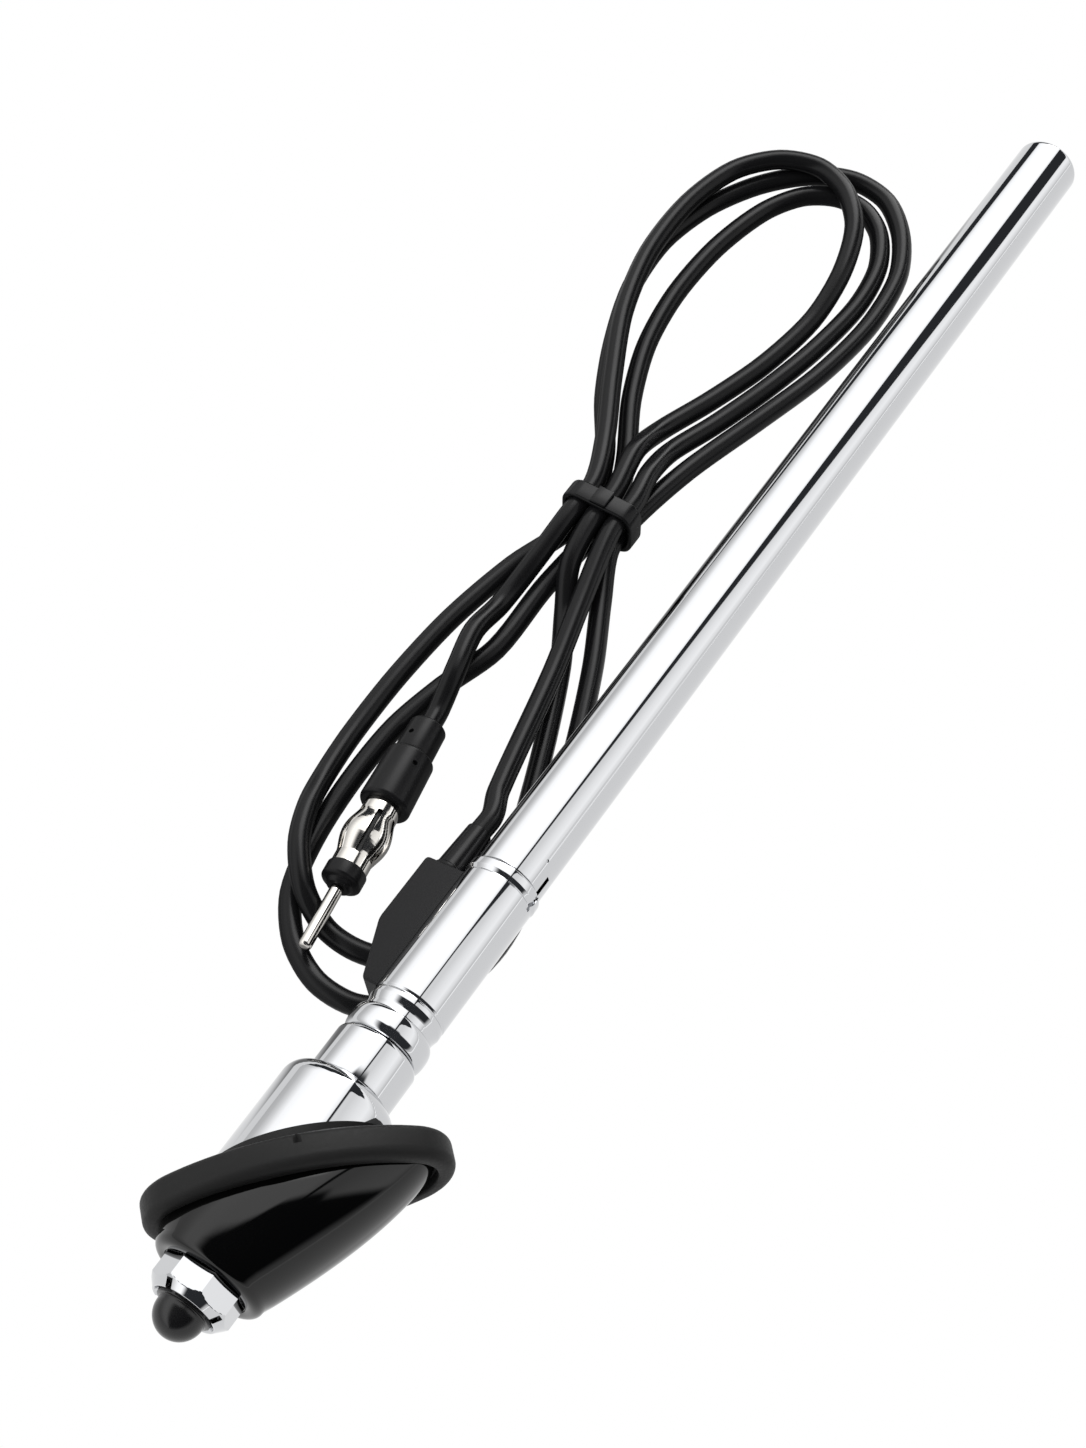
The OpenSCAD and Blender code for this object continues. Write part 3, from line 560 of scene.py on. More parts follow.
class AERIAL_OT_cup(bpy.types.Operator):
    """Models the clamp cup and its pad, both cut off at the slanted wing"""

    bl_idname = "aerial.cup"
    bl_label = "Clamp cup"

    def execute(self, context):
        t = context.scene.aerial_tubes
        r, neck = t.cup_r / MM, t.neck_r / MM + 0.1
        at = place()
        out = (at.to_3x3() @ wing().to_3x3() @ Vector((0, 0, 1))).normalized()

        def behind(h):
            """A point on the plane at a distance behind the wing face."""
            return at @ (wing() @ Vector((0, 0, -h * MM)))

        shoulder = arc(16.1, r - 4.5, 4.5, 90, 8, 14)
        line = [(-12, r - 1.2), (-12, r)] + shoulder + [(20.6, 8.2), (20.6, neck), (19.4, neck)]
        line += [(19.4, r - 4.6), (18.6, r - 2.9), (16.1, r - 1.2)]
        cup = turned("Clamp_cup", line, closed=True, soft=0.12, sides=128)
        bisected(cup, behind(3.05), out)
        finished(cup, "chrome", "clamp_cup")
        pad = pipe("Cup_pad", [(-16, r), (20, r)], neck, soft=0)
        bisected(pad, behind(0.05), out)
        bisected(pad, behind(3.0), out, inner=True)
        finished(pad, "rubber", "cup_pad")
        return {"FINISHED"}


class AERIAL_OT_tubes(bpy.types.Operator):
    """Models the sleeve, the body tube with its rolled bead and the long tube"""

    bl_idname = "aerial.tubes"
    bl_label = "Chromed tubes"

    def execute(self, context):
        t = context.scene.aerial_tubes
        sleeve, bead = t.sleeve_r / MM, t.bead_r / MM
        body, tube = t.body_r / MM, t.tube_r / MM
        neck, end, lip = t.neck_r / MM + 0.1, t.tube_end / MM, t.lip_r / MM
        stop = t.body_end / MM
        line = [(20.65, sleeve), (30.4, sleeve), (31.1, sleeve - 0.3), (31.4, sleeve - 1)]
        obj = pipe("Neck_sleeve", line, neck, soft=0.2)
        finished(obj, "chrome", "neck_sleeve")

        low, middle, half = neck + 0.35, 34.6, 3.0
        roll = []
        for k in range(-12, 13):
            u = math.sin(k / 12 * math.pi / 2)
            roll.append((middle + half * u, low + (bead - low) * math.sqrt(max(0, 1 - abs(u) ** 2.6))))
        line = roll + [(38.2, low + 0.02), (38.9, low), (39.6, low + 0.1), (40.3, body - 0.12)]
        # a fine groove beside the bead, then the groove and the raised band of the collar
        line += [(40.7, body), (41.7, body), (42.0, body - 0.18), (42.2, body - 0.25), (42.4, body - 0.18)]
        line += [(42.7, body), (stop - 3.5, body), (stop - 3.2, body - 0.3), (stop - 3.0, body - 0.3)]
        line += [(stop - 2.2, body + 0.2), (stop - 0.5, body + 0.2), (stop - 0.1, body)]
        line += [(stop - 0.1, body - 0.2), (stop - 0.5, body - 0.2), (stop - 1.2, body - 0.8)]
        line += [(66.3, body - 0.8), (66.3, body - 0.4), (41, body - 0.4)]
        line += [(38.8, low - 0.35), (31.6, low - 0.35)]
        obj = turned("Body_tube", line, closed=True, soft=0.12, sides=128, smooth=40)
        notch = rolled(place(), SEAM)
        cut_by(obj, block((stop - 4.3, 3, -0.6), (stop + 2, 12, 0.6), notch))
        finished(obj, "chrome", "body_tube")

        mouth = tube - lip
        # rings close beside each change of direction keep the long faces' shading straight
        line = [(66.5, tube - 0.85), (66.5, tube - 0.4), (stop - 0.1, tube - 0.4), (stop + 0.4, tube)]
        line += [(stop + 0.5, tube), (stop + 6, tube), (end - lip - 0.2, tube)]
        line += arc(end - lip, mouth, lip, 90, 0, 8) + [(end - 0.45, mouth), (end - 1.25, tube - 0.45)]
        line += [(end - 1.4, tube - 0.45), (stop + 0.7, tube - 0.45), (stop + 0.6, tube - 0.45)]
        line += [(stop, tube - 0.85)]
        obj = turned("Long_tube", line, closed=True, soft=0, sides=128)
        cut_by(obj, block((stop - 1, 3, -0.6), (stop + 4.7, 12, 0.6), notch))
        cut_by(obj, drill(85, 0, tube, 0.4, 0.4, rolled(place(), 50.4)))
        finished(obj, "chrome", "outer_tube")
        return {"FINISHED"}


class AERIAL_OT_nut(bpy.types.Operator):
    """Models the chamfered eight-sided gland nut with its four slots, and the tip button"""

    bl_idname = "aerial.nut"
    bl_label = "Gland nut and tip"

    def execute(self, context):
        h = context.scene.aerial_head
        af = h.nut_af / 2 / MM
        corner = af / math.cos(math.radians(22.5))
        n = 160
        angles = [2 * math.pi * i / n for i in range(n)]

        def side(a, limit):
            """Radius of the eight flats at an angle, no more than the chamfer allows."""
            off = (math.degrees(a) + 22.5) % 45 - 22.5
            return min(af / math.cos(math.radians(off)), limit)

        face, rim, chamfer, steps = -33.4, 7.35, 2.2, 24
        widest = corner + 0.1
        line = [(-32.6, 6.45), (face, 6.9), (face, rim - 0.1)]
        for k in range(steps + 1):
            line.append((face + 0.06 + chamfer * k / steps, rim + (widest - rim) * k / steps))
        line += [(NUT_SEAT - 0.1, widest), (NUT_SEAT, corner - 0.1), (NUT_SEAT, 7.55)]
        line += [(-31.4, 7.55), (-31.4, 6.45)]
        rings = [[around(x, side(a, limit), a) for a in angles] for x, limit in line]
        nut = ringed("Gland_nut", laid_rings(rings), closed=True, smooth=14)
        for k in range(4):
            slot = block((-34, -0.75, 5.5), (-31.9, 0.75, 8.75), rolled(place(), 90 * k - 22.5))
            cut_by(nut, slot, 14)
        finished(nut, "chrome", "gland_nut")

        r = h.tip_r / MM
        line = arc(-34.5, 0, r, 179, 90, 24) + [(-34.0, r), (-33.8, r + 0.2), (-33.7, r + 0.75)]
        line += [(-31.8, r + 0.75), (-31.8, 1.4), (-36, 1.4)]
        tip = turned("Tip_button", line, soft=0.08, smooth=40)
        finished(tip, "tip", "tip_button", "mast_4")
        return {"FINISHED"}


class AERIAL_OT_mast(bpy.types.Operator):
    """Models the mast's rod and its three sliding tubes"""

    bl_idname = "aerial.mast"
    bl_label = "Mast sections"

    def execute(self, context):
        rod = turned("Mast_rod", [(-35.9, 0.05), (-35.9, 1.3), (287, 1.3), (287, 0.05)], soft=0.1, sides=64)
        finished(rod, "steel", "mast_rod", "mast_4")
        for number, start, end, r, mouth in [
            (3, -31.5, 293, 2.1, 1.4), (2, -31.2, 299, 2.9, 2.2), (1, -30.9, 305, 3.8, 3.0),
        ]:
            line = [(start, mouth), (start, r - 0.3), (start + 0.3, r), (end, r), (end, r - 0.35)]
            line += [(start + 0.8, r - 0.35)]
            tube = turned(f"Mast_tube_{number}", line, closed=True, soft=0.1, sides=64)
            finished(tube, "steel", f"mast_tube_{number}", f"mast_{number}")
        return {"FINISHED"}


class AERIAL_OT_box(bpy.types.Operator):
    """Models the cable box on the body and the sleeve where the lead leaves it"""

    bl_idname = "aerial.box"
    bl_label = "Cable box"

    def execute(self, context):
        s = context.scene.aerial_lead
        at = box_place()
        reach, top = s.box_reach / MM, s.box_h / 2 / MM
        outline = [(42.5, 4), (42.5, 11), (56.7, reach), (74.5, reach), (74.5, 4)]
        loop = softened(outline, 1.1, 5)
        middle = Vector((60, 9))

        def ring(z, inset):
            """The outline drawn in by inset, at a height."""
            out = []
            for k, p in enumerate(loop):
                q = Vector(p)
                before, after = Vector(loop[k - 1]), Vector(loop[(k + 1) % len(loop)])
                edge = (after - before).normalized()
                side = Vector((-edge.y, edge.x))
                if side.dot(middle - q) < 0:
                    side = -side
                q = q + side * inset
                out.append(at @ Vector((q.x * MM, q.y * MM, z * MM)))
            return out

        floor = -top + 1.65
        rings = [ring(floor, 0), ring(floor + 0.05, 0)]
        rings += [ring(z, inset) for inset, z in arc(0.7, top - 0.7, 0.7, 180, 90, 5)]
        box = ringed("Cable_box", rings, smooth=35)
        body = turned("Cutter", [(30, 0.05), (30, 8.4), (90, 8.4), (90, 0.05)], soft=0)
        cut_by(box, body)
        finished(box, "satin_black", "cable_box")

        line = [(71.5, 0.05), (71.5, 2.8), (74.55, 2.85), (74.55, 3.7), (75.5, 3.7), (75.7, 3.4)]
        line += [(87, 2.9), (87, 0.05)]
        outside = at @ Matrix.Translation((0, RELIEF_OUT * MM, 0))
        sleeve = turned("Strain_relief", line, outside, sides=64)
        finished(sleeve, "jacket", "strain_relief")
        return {"FINISHED"}


# the lead's loops in millimetres: LOOP_1 leaves the box, and LOOP_5 reaches the plug. A point without
# a height is at LYING, with the lead on the surface
LYING = 2.6
LOOP_1 = [
    (-48, 19.2, 11.2), (-14, 27, 7.8), (6, 32, 8.1), (25, 36.2, 9.4), (36, 36.2, 9.4), (46, 38.2, 7.8),
    (57, 38.8, 4.2), (71, 34.8), (87, 30), (104, 26.2), (122, 24.2), (136, 25.8), (146.5, 31),
    (152.2, 38.5), (152.5, 46.5), (148, 54), (138, 59.8), (121, 63.6), (102, 64.2), (84, 61.6),
    (67, 55.6), (50, 46.8),
]
LOOP_2 = [
    (36, 41.6, 3.9), (25, 41.6, 3.9), (8, 43.4), (-12, 43.4), (-27, 47.8), (-42, 50.8), (-59, 51),
    (-75, 49.4), (-88.4, 45.8), (-98, 38.4), (-103.2, 29), (-103.4, 19), (-98, 10), (-89, 4), (-76, 1.6),
    (-60, 3.6), (-42, 8.4), (-23, 14.8), (-4, 22.4), (12, 30.2), (25, 36, 3.9),
]
LOOP_3 = [
    (36, 36, 3.9), (56, 33), (78, 26.6), (98, 21.2), (118, 18.6), (136, 20.1), (149, 26), (158, 35),
    (160, 45.5), (155.5, 56), (145.5, 65.5), (132, 72.5), (116, 76), (98, 74.6), (80, 68.8), (64, 61.4),
    (50, 52.6),
]
LOOP_4 = [
    (36, 47.1, 3.9), (25, 47.1, 3.9), (10, 52.8), (-10, 56.6), (-30, 58), (-48, 57.8), (-61, 56.2, 3.8),
    (-71, 53.4, 6.8), (-80, 49.2, 8), (-88.2, 42.2, 7), (-91.8, 34.6, 2.8), (-92.6, 26), (-90, 17.5),
    (-83, 10.6), (-73, 7.8), (-60, 9.4), (-44, 14.4), (-26, 21), (-8, 28.6), (5, 35.6, 3), (14, 40, 7.4),
    (25, 41.6, 9.4),
]
LOOP_5 = [
    (36, 41.6, 9.4), (50, 44.4, 8.2), (62, 44.4, 3.6), (77, 39.4), (94, 34.2), (112, 31, 3.6),
    (127, 31.4, 6.4), (141, 35.6, 8), (150.5, 43.4, 8), (154.5, 53, 8), (151.5, 63, 8), (142, 71, 8),
    (126, 75, 8), (106, 74.6, 8), (86, 69.6, 8), (66, 60.6, 8), (50, 52.6, 8.4), (36, 47.1, 9.4),
    (25, 47.1, 9.4), (12, 47.6, 7), (-2, 48.6, 4.4), (-13, 48.4, 7.4), (-24, 45.8, 8.1),
]
HANDLE = 0.29  # a curve handle's share of the distance to the next point


def route():
    """The lead's route in metres, from the strain relief to the plug's tail."""
    p = bpy.context.scene.aerial_place
    start = [box_place() @ Vector((x * MM, RELIEF_OUT * MM, 0)) for x in (87.05, 92)]
    loops = []
    for x, y, *height in LOOP_1 + LOOP_2 + LOOP_3 + LOOP_4 + LOOP_5:
        loops.append(Vector((x, y, *(height or [LYING]))) * MM + Vector((0, p.beside, 0)))
    return start + loops + [plug_place() @ Vector((x * MM, 0, 0)) for x in (67.3, 62.35)]


class AERIAL_OT_lead(bpy.types.Operator):
    """Draws the lead along its route, from the cable box to the plug"""

    bl_idname = "aerial.lead"
    bl_label = "Lead"

    def execute(self, context):
        r = context.scene.aerial_lead.lead_r
        points = route()
        deselect()
        bpy.ops.curve.primitive_bezier_curve_add()
        obj = bpy.context.object
        obj.name = "Lead"
        curve = obj.data
        curve.splines.clear()
        spline = curve.splines.new("BEZIER")
        spline.bezier_points.add(len(points) - 1)
        for k, (bp, p) in enumerate(zip(spline.bezier_points, points)):
            before, after = points[max(k - 1, 0)], points[min(k + 1, len(points) - 1)]
            along = (after - before).normalized()
            bp.co = p
            bp.handle_left_type = bp.handle_right_type = "FREE"
            bp.handle_left = p - along * (p - before).length * HANDLE
            bp.handle_right = p + along * (after - p).length * HANDLE
        curve.dimensions = "3D"
        curve.resolution_u = 6
        curve.bevel_depth = r
        curve.bevel_resolution = 6
        curve.use_fill_caps = True
        obj.data.materials.append(material("jacket"))
        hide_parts("lead")
        names = ["Plug_pin", "Plug_ring", "Plug_barrel", "Plug_sleeve", "Plug_tail"]
        names += ["Strain_relief", "Cable_tie"]
        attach(obj, "base")
        return {"FINISHED"}


class AERIAL_OT_tie(bpy.types.Operator):
    """Models the tie round the six strands of the lead"""

    bl_idname = "aerial.tie"
    bl_label = "Cable tie"

    def execute(self, context):
        w = context.scene.aerial_lead.tie_w / 2 / MM
        station, height, bend, wall = 30.5, 6.65, 2.6, 1.2
        middle = 41.6 + context.scene.aerial_place.beside / MM
        # the middle of each bend, from the tie's own, and where the bend starts in degrees
        bends = [(5.6, 2.75, 0), (-5.6, 2.75, 90), (-5.6, -2.75, 180), (5.6, -2.75, 270)]

        def ring(x, g):
            """The tie's outline grown by g, at a place across its width."""
            out = []
            for *bend_middle, start in bends:
                for y, z in arc(*bend_middle, bend + g, start, start + 90, 8):
                    out.append(Vector((station + x, middle + y, height + z)) * MM)
            return out

        line = softened([(0, 0), (-w, 0), (-w, wall), (0, wall)], 0.6)
        line += softened([(0, wall), (w, wall), (w, 0), (0, 0)], 0.6)[1:-1]
        rings = [ring(x, g) for x, g in line]
        obj = ringed("Cable_tie", rings, closed=True, smooth=40)
        head = block((station - w, middle - 2, 13.2), (station + w, middle + 2, 14.1), Matrix())
        mod = head.modifiers.new("Edges", "BEVEL")
        mod.width, mod.segments = 0.25 * MM, 3
        bpy.ops.object.modifier_apply(modifier=mod.name)
        obj.select_set(True)
        bpy.context.view_layer.objects.active = obj
        bpy.ops.object.join()
        tidied(obj, 40)
        finished(obj, "jacket", "cable_tie")
        return {"FINISHED"}


class AERIAL_OT_plug(bpy.types.Operator):
    """Models the plug: pin, insulating ring, slotted spring barrel and its two sleeves"""

    bl_idname = "aerial.plug"
    bl_label = "Plug"

    def execute(self, context):
        s = context.scene.aerial_lead
        at = plug_place()
        pin_l, r = s.pin_l / MM, s.pin_r / MM
        line = [(0, 0.05), (0, r * 0.62), (0.25, r * 0.9), (0.8, r), (pin_l - 0.2, r)]
        line += [(pin_l - 0.1, r - 0.25), (30, r - 0.25), (30, 0.05)]
        pin = turned("Plug_pin", line, at, sides=64, soft=0.2)
        finished(pin, "nickel", "plug_pin")

        start = pin_l + 5
        line = [(pin_l, 1.35), (pin_l, 2.6), (pin_l + 0.5, 3), (pin_l + 1, 3.1), (pin_l + 1.2, 4.1)]
        line += [(pin_l + 1.6, 4.6), (start - 0.3, 4.6), (start - 0.05, 4.3), (start - 0.05, 3.25)]
        line += [(start + 17.4, 3.25), (start + 17.4, 1.35)]
        ring = turned("Plug_ring", line, at, closed=True)
        finished(ring, "sleeve", "plug_insulator")

        cuff, end = s.barrel_r / MM, start + 17.5
        belly = s.belly_r / MM - cuff
        line = [(start, cuff), (start + 3, cuff)]
        for k in range(1, 16):
            line.append((start + 3 + 11.5 * k / 16, cuff + belly * math.sin(math.pi * k / 16) ** 1.3))
        line += [(end - 3, cuff), (end, cuff)]
        inner = [(x, y - 0.6) for x, y in reversed(line)]
        barrel = turned("Plug_barrel", line + inner, at, closed=True, soft=0.1)
        for k in range(6):
            slot = block((start + 2.9, -0.62, 0.5), (end - 2.9, 0.62, 12), rolled(at, 60 * k + 15))
            cut_by(barrel, slot)
        finished(barrel, "nickel", "plug_barrel")

        boot, far = s.boot_r / MM, end + 14.6
        line = [(end + 0.05, 0.05), (end + 0.05, boot - 0.5), (end + 0.7, boot), (far - 0.6, boot - 0.4)]
        line += [(far, boot - 1), (far, 0.05)]
        sleeve = turned("Plug_sleeve", line, at, soft=0.4)
        cut_by(sleeve, drill(far - 4, 0, boot - 0.6, 0.6, 1.6, rolled(at, 30)))
        finished(sleeve, "sleeve", "plug_boot")
        line = [(far + 0.05, 0.05), (far + 0.05, 4.5), (far + 8.6, 4.3), (far + 9.2, 3.6), (far + 9.2, 0.05)]
        tail = turned("Plug_tail", line, at, soft=0.4)
        cut_by(tail, drill(far + 4, 0, 4, 0.6, 1.6, rolled(at, -25)))
        finished(tail, "sleeve", "plug_tail")
        return {"FINISHED"}


class AERIAL_OT_inner(bpy.types.Operator):
    """Gives the pieces inside the tubes their materials"""

    bl_idname = "aerial.inner"
    bl_label = "Inner pieces"

    def execute(self, context):
        looks = {
            "brass": ["mast_bush_4", "mast_bush_3", "mast_bush_2", "contact_ring", "contact_strip"],
            "white": ["mast_foot", "guide_tube", "insulator_bush"],
            "steel": ["threaded_neck"],
            "satin_black": ["top_guide", "end_plug", "box_lid"],
        }
        for finish, nodes in looks.items():
            for name in nodes:
                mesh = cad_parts[name].data
                mesh.materials.clear()
                mesh.materials.append(material(finish))
        return {"FINISHED"}


# Each row of FLOOR and STUDIO names a value, how it is made and from what.
# In reflections the floor carries a painted shadow: it is darker between the strands of the lead.
FLOOR = [
    ("left", "SMOOTHSTEP", "X", -0.13, -0.1),
    ("right", "SMOOTHSTEP", "X", 0.185, 0.155),
    ("near", "SMOOTHSTEP", "Y", 0.012, 0.03),
    ("far", "SMOOTHSTEP", "Y", 0.1, 0.08),
    ("along", "MULTIPLY", "left", "right"),
    ("across", "MULTIPLY", "near", "far"),
    # the painted shadow under the lead, which only reflections see
    ("painted_shadow_patch", "MULTIPLY", "along", "across"),
    ("shade", "MULTIPLY", "Is Glossy Ray", "painted_shadow_patch"),
    ("level", "MULTIPLY_ADD", "shade", -0.8, 1.0),
    ("seen", "MAXIMUM", "Is Camera Ray", "Is Glossy Ray"),
]
# In the studio X, Y and Z are the direction's parts: X is ahead along the tube, and "turn" is the
# direction's angle about the tube in degrees.
STUDIO = [
    ("angle", "ARCTAN2", "Z", "Y"),
    ("share", "LINEAR", "angle", 0.0, math.pi),
    ("turn", "MULTIPLY", "share", 180.0),
    # the soft box over the far end
    ("box_ahead", "SMOOTHSTEP", "X", 0.42, 0.5),
    ("box_from", "SMOOTHSTEP", "turn", 52, 66),
    ("box_to", "SMOOTHSTEP", "turn", 101, 90),
    ("box_wide", "MULTIPLY", "box_from", "box_to"),
    ("box", "MULTIPLY", "box_ahead", "box_wide"),
    # the dark gap over the camera, which widens towards the far end
    ("far", "LINEAR", "X", 0.42, 0.69),
    ("far_squared", "MULTIPLY", "far", "far"),
    ("gap_end", "MULTIPLY_ADD", "far_squared", 34.0, 112.0),
    ("past", "SUBTRACT", "turn", "gap_end"),
    ("gap_from", "SMOOTHSTEP", "turn", 107.5, 108.7),
    ("gap_to", "SMOOTHSTEP", "past", 0.8, -0.8),
    ("gap", "MULTIPLY", "gap_from", "gap_to"),
    # a second dark gap, low on the left and only ahead
    ("low_end", "MULTIPLY_ADD", "X", 25 / 0.17, -3 - 0.52 * 25 / 0.17),
    ("under", "SUBTRACT", "turn", "low_end"),
    ("low_gap", "SMOOTHSTEP", "under", 1.0, -1.0),
    # the unlit side behind the camera, which the head faces
    ("top_from", "SMOOTHSTEP", "turn", 84, 96),
    ("top_to", "SMOOTHSTEP", "turn", 130, 120),
    ("top", "MULTIPLY", "top_from", "top_to"),
    ("edge", "MULTIPLY_ADD", "top", 0.07, 0.18),
    ("beyond", "SUBTRACT", "X", "edge"),
    ("back_near", "SMOOTHSTEP", "beyond", 0.03, -0.05),
    ("back_from", "SMOOTHSTEP", "turn", 50, 74),
    ("back_to", "SMOOTHSTEP", "turn", 176, 162),
    ("back_wide", "MULTIPLY", "back_from", "back_to"),
    ("back", "MULTIPLY", "back_near", "back_wide"),
    ("gaps", "MAXIMUM", "gap", "back"),
    ("dark", "MAXIMUM", "gaps", "low_gap"),
]
# the studio's light over the turn in degrees, where 1 is white
STUDIO_LIGHT = [
    (0, 0.7), (10, 0.78), (20, 1.05), (34, 1.6), (48, 1.72), (100, 1.72), (106, 1.5), (112, 1.08),
    (122, 1.05), (140, 1.28), (156, 1.42), (168, 1.15), (176, 0.8), (177.5, 1.5), (180, 1.3),
]
STUDIO_STRENGTH = 2.0  # the world's colours are given as shares of this


def computed(tree, rows, sources):
    """Adds the nodes for a table of values and returns every value by name."""
    value = {output.name: output for source in sources for output in source.outputs}
    for k, (name, kind, *parts) in enumerate(rows):
        x, y = -2200 + 200 * (k // 5), -200 - 200 * (k % 5)
        if kind in ("LINEAR", "SMOOTHSTEP"):
            source, low, high = parts
            node = add(
                tree, "ShaderNodeMapRange", x, y, {"From Min": low, "From Max": high},
                {"Value": value[source]}, interpolation_type=kind,
            )
        else:
            numbers = {i: part for i, part in enumerate(parts) if not isinstance(part, str)}
            links = {i: value[part] for i, part in enumerate(parts) if isinstance(part, str)}
            node = add(tree, "ShaderNodeMath", x, y, numbers, links, operation=kind)
        value[name] = node.outputs[0]
    return value


class AERIAL_OT_stage(bpy.types.Operator):
    """Sets up the pale floor, the studio light and the camera"""

    bl_idname = "aerial.stage"
    bl_label = "Stage"

    def execute(self, context):
        scene = context.scene
        self.camera(scene)
        self.floor()
        self.world(scene)
        scene.view_settings.view_transform = "Standard"
        return {"FINISHED"}

    def camera(self, scene):
        """The camera stands over the aerial's head and looks along it."""
        data = bpy.data.cameras.new("Camera")
        cam = bpy.data.objects.new("Camera", data)
        scene.collection.objects.link(cam)
        scene.camera = cam
        turn, down = math.radians(32.39), math.radians(56.5)
        look = Vector((math.cos(down) * math.cos(turn), math.cos(down) * math.sin(turn), -math.sin(down)))
        right = Vector((math.sin(turn), -math.cos(turn), 0))
        up = right.cross(look)
        m = Matrix((right, up, -look)).transposed().to_4x4()
        m.translation = (-0.3027, -0.15455, 0.5023)
        cam.matrix_world = m
        data.lens = 67.127
        data.sensor_width = 36
        data.sensor_fit = "AUTO"
        data.clip_start = 0.01
        data.dof.use_dof = False

    def floor(self):
        """A pale surface that the camera sees as plain white."""
        deselect()
        bpy.ops.mesh.primitive_plane_add(size=6)
        obj = bpy.context.object
        obj.name = "Floor"
        mat = bpy.data.materials.new("Paper, matt white")
        mat.use_nodes = True
        tree = mat.node_tree
        tree.nodes.clear()
        path = add(tree, "ShaderNodeLightPath", -600, 200)
        matt = add(tree, "ShaderNodeBsdfDiffuse", -300, 0, {"Color": (*linear("#AAAAAA"), 1)})
        where = add(tree, "ShaderNodeTexCoord", -2600, -200).outputs["Object"]
        split = add(tree, "ShaderNodeSeparateXYZ", -2400, -200, links={"Vector": where})
        value = computed(tree, FLOOR, [split, path])
        # painted shadow: in reflections the floor's glow is dimmed under the lead
        white = add(
            tree, "ShaderNodeEmission", -300, -200, {"Color": (*linear("#FFFFFF"), 1)},
            {"Strength": value["level"]},
        )
        mix = add(
            tree, "ShaderNodeMixShader", 0, 0,
            links={0: value["seen"], 1: matt.outputs["BSDF"], 2: white.outputs["Emission"]},
        )
        add(tree, "ShaderNodeOutputMaterial", 300, 0, links={"Surface": mix.outputs["Shader"]})
        obj.data.materials.append(mat)

    def world(self, scene):
        """A white studio, which mirror surfaces see with a soft box and narrow dark gaps."""
        world = bpy.data.worlds.new("Studio")
        scene.world = world
        world.use_nodes = True
        tree = world.node_tree
        tree.nodes.clear()
        where = add(tree, "ShaderNodeTexCoord", -2600, 0).outputs["Generated"]
        split = add(tree, "ShaderNodeSeparateXYZ", -2400, 0, links={"Vector": where})
        value = computed(tree, STUDIO, [split])
        ramp = add(tree, "ShaderNodeValToRGB", -1000, 0, links={"Fac": value["share"]})
        elements = ramp.color_ramp.elements
        elements.remove(elements[0])
        for k, (turn, light) in enumerate(STUDIO_LIGHT):
            stop = elements[0] if k == 0 else elements.new(turn / 180)
            stop.position = turn / 180
            stop.color = (*[light / STUDIO_STRENGTH] * 3, 1)
        boxed = add(
            tree, "ShaderNodeMixRGB", -700, 0, {"Color2": (3.2, 3.2, 3.2, 1)},
            {"Fac": value["box"], "Color1": ramp.outputs["Color"]},
        )
        lit = add(
            tree, "ShaderNodeMixRGB", -500, 0, {"Color2": (0.016, 0.017, 0.019, 1)},
            {"Fac": value["dark"], "Color1": boxed.outputs["Color"]},
        ).outputs["Color"]
        # soft light on matt surfaces, from over the camera's left
        toward = add(
            tree, "ShaderNodeVectorMath", -1200, 300, {1: (-0.35, 0.21, 0.913)}, {0: where},
            operation="DOT_PRODUCT",
        )
        soft = add(
            tree, "ShaderNodeMapRange", -1000, 300,
            {"From Min": 0.45, "From Max": 0.95, "To Min": 0.1, "To Max": 1.35},
            {"Value": toward.outputs["Value"]}, interpolation_type="SMOOTHSTEP",
        )
        path = add(tree, "ShaderNodeLightPath", -600, 400).outputs
        shown = add(
            tree, "ShaderNodeMixRGB", -300, 100,
            links={"Fac": path["Is Glossy Ray"], "Color1": soft.outputs["Result"], "Color2": lit},
        )
        # the camera sees plain white
        final = add(
            tree, "ShaderNodeMixRGB", -100, 100, {"Color2": (*[1 / STUDIO_STRENGTH] * 3, 1)},
            {"Fac": path["Is Camera Ray"], "Color1": shown.outputs["Color"]},
        ).outputs["Color"]
        light = add(tree, "ShaderNodeBackground", 100, 0, {"Strength": STUDIO_STRENGTH}, {"Color": final})
        add(tree, "ShaderNodeOutputWorld", 300, 0, links={"Surface": light.outputs["Background"]})


class AERIAL_PT_panel(bpy.types.Panel):
    """Lists the aerial's operators and sizes"""

    bl_label = "Car mast aerial"
    bl_idname = "AERIAL_PT_panel"
    bl_space_type = "VIEW_3D"
    bl_region_type = "UI"
    bl_category = "Aerial"

    def draw(self, context):
        layout = self.layout
        for kind in OPERATORS:
            layout.operator(kind.bl_idname)
        for group in GROUPS:
            box = layout.box()
            data = getattr(context.scene, group)
            for key in GROUPS[group].__annotations__:
                box.prop(data, key)


OPERATORS = [
    AERIAL_OT_stage,
    AERIAL_OT_tubes,
    AERIAL_OT_nut,
    AERIAL_OT_gasket,
    AERIAL_OT_pedestal,
    AERIAL_OT_cup,
    AERIAL_OT_mast,
    AERIAL_OT_box,
    AERIAL_OT_tie,
    AERIAL_OT_plug,
    AERIAL_OT_lead,
    AERIAL_OT_inner,
]
GROUPS = {
    "aerial_place": AERIAL_PG_place,
    "aerial_tubes": AERIAL_PG_tubes,
    "aerial_head": AERIAL_PG_head,
    "aerial_lead": AERIAL_PG_lead,
    "aerial_finish": AERIAL_PG_finish,
}


def register():
    """Registers the classes and hangs the property groups on the scene."""
    for kind in [*GROUPS.values(), *OPERATORS, AERIAL_PT_panel]:
        bpy.utils.register_class(kind)
    for name, kind in GROUPS.items():
        setattr(bpy.types.Scene, name, bpy.props.PointerProperty(type=kind))


def unregister():
    """Undoes register."""
    for name in GROUPS:
        delattr(bpy.types.Scene, name)
    for kind in reversed([*GROUPS.values(), *OPERATORS, AERIAL_PT_panel]):
        bpy.utils.unregister_class(kind)


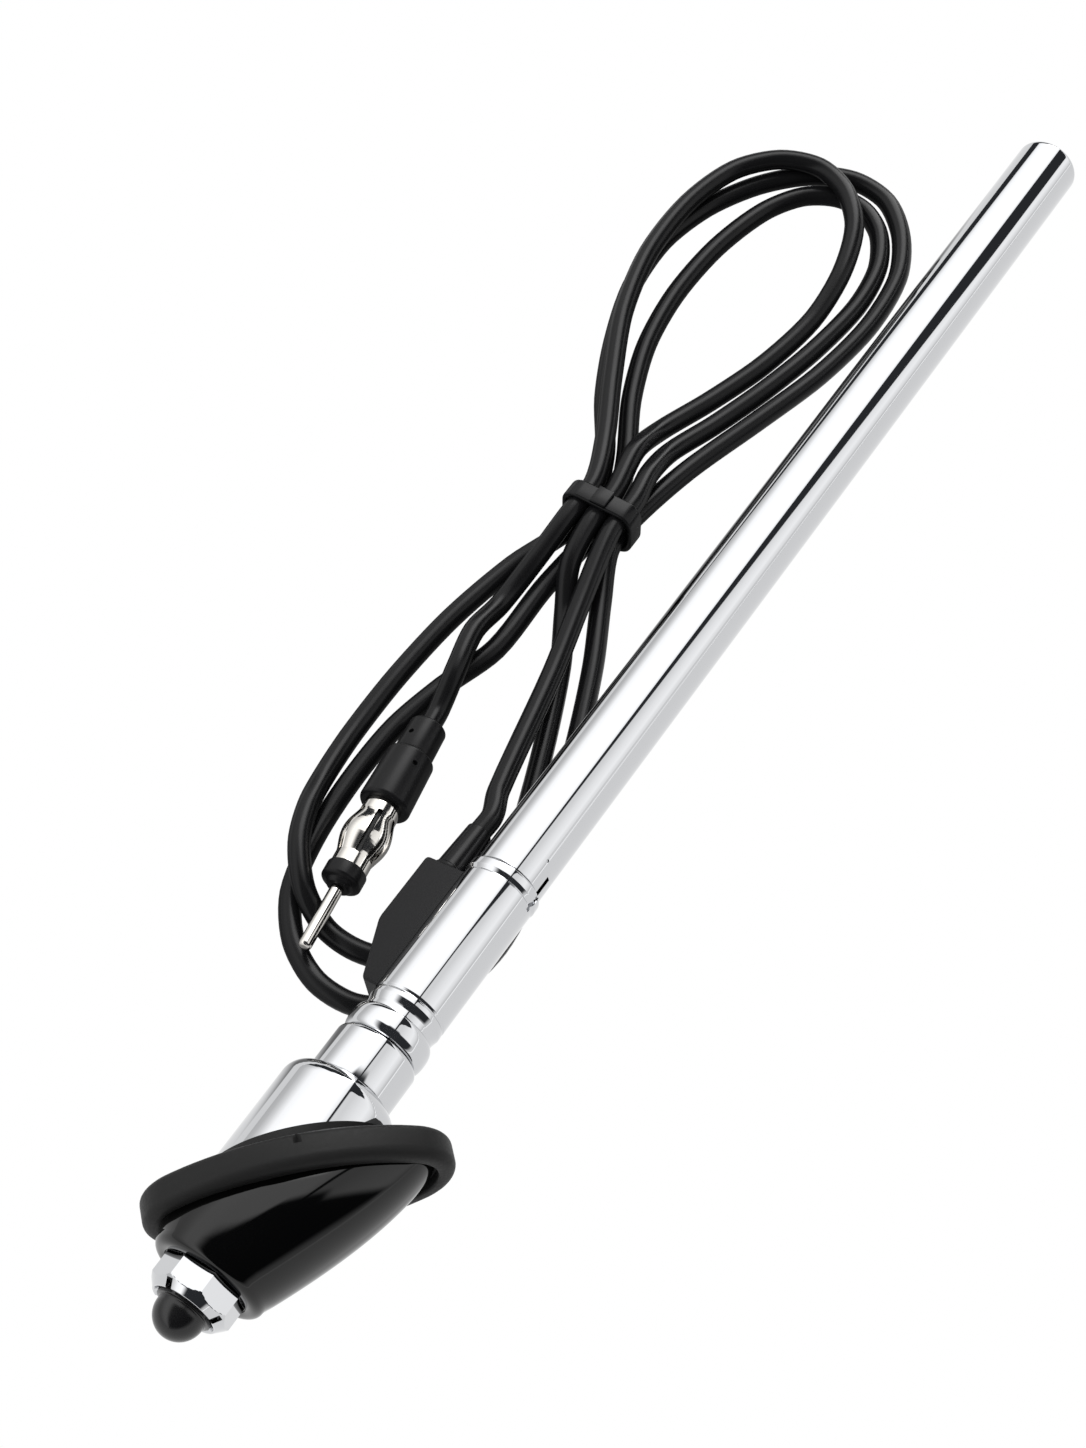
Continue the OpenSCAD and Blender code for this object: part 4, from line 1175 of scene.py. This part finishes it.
def main():
    """Registers the add-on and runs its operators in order."""
    register()
    for kind in OPERATORS:
        group, name = kind.bl_idname.split(".")
        if getattr(getattr(bpy.ops, group), name)() != {"FINISHED"}:
            raise RuntimeError(f"{kind.bl_label} didn't finish")


if __name__ == "__main__":
    main()
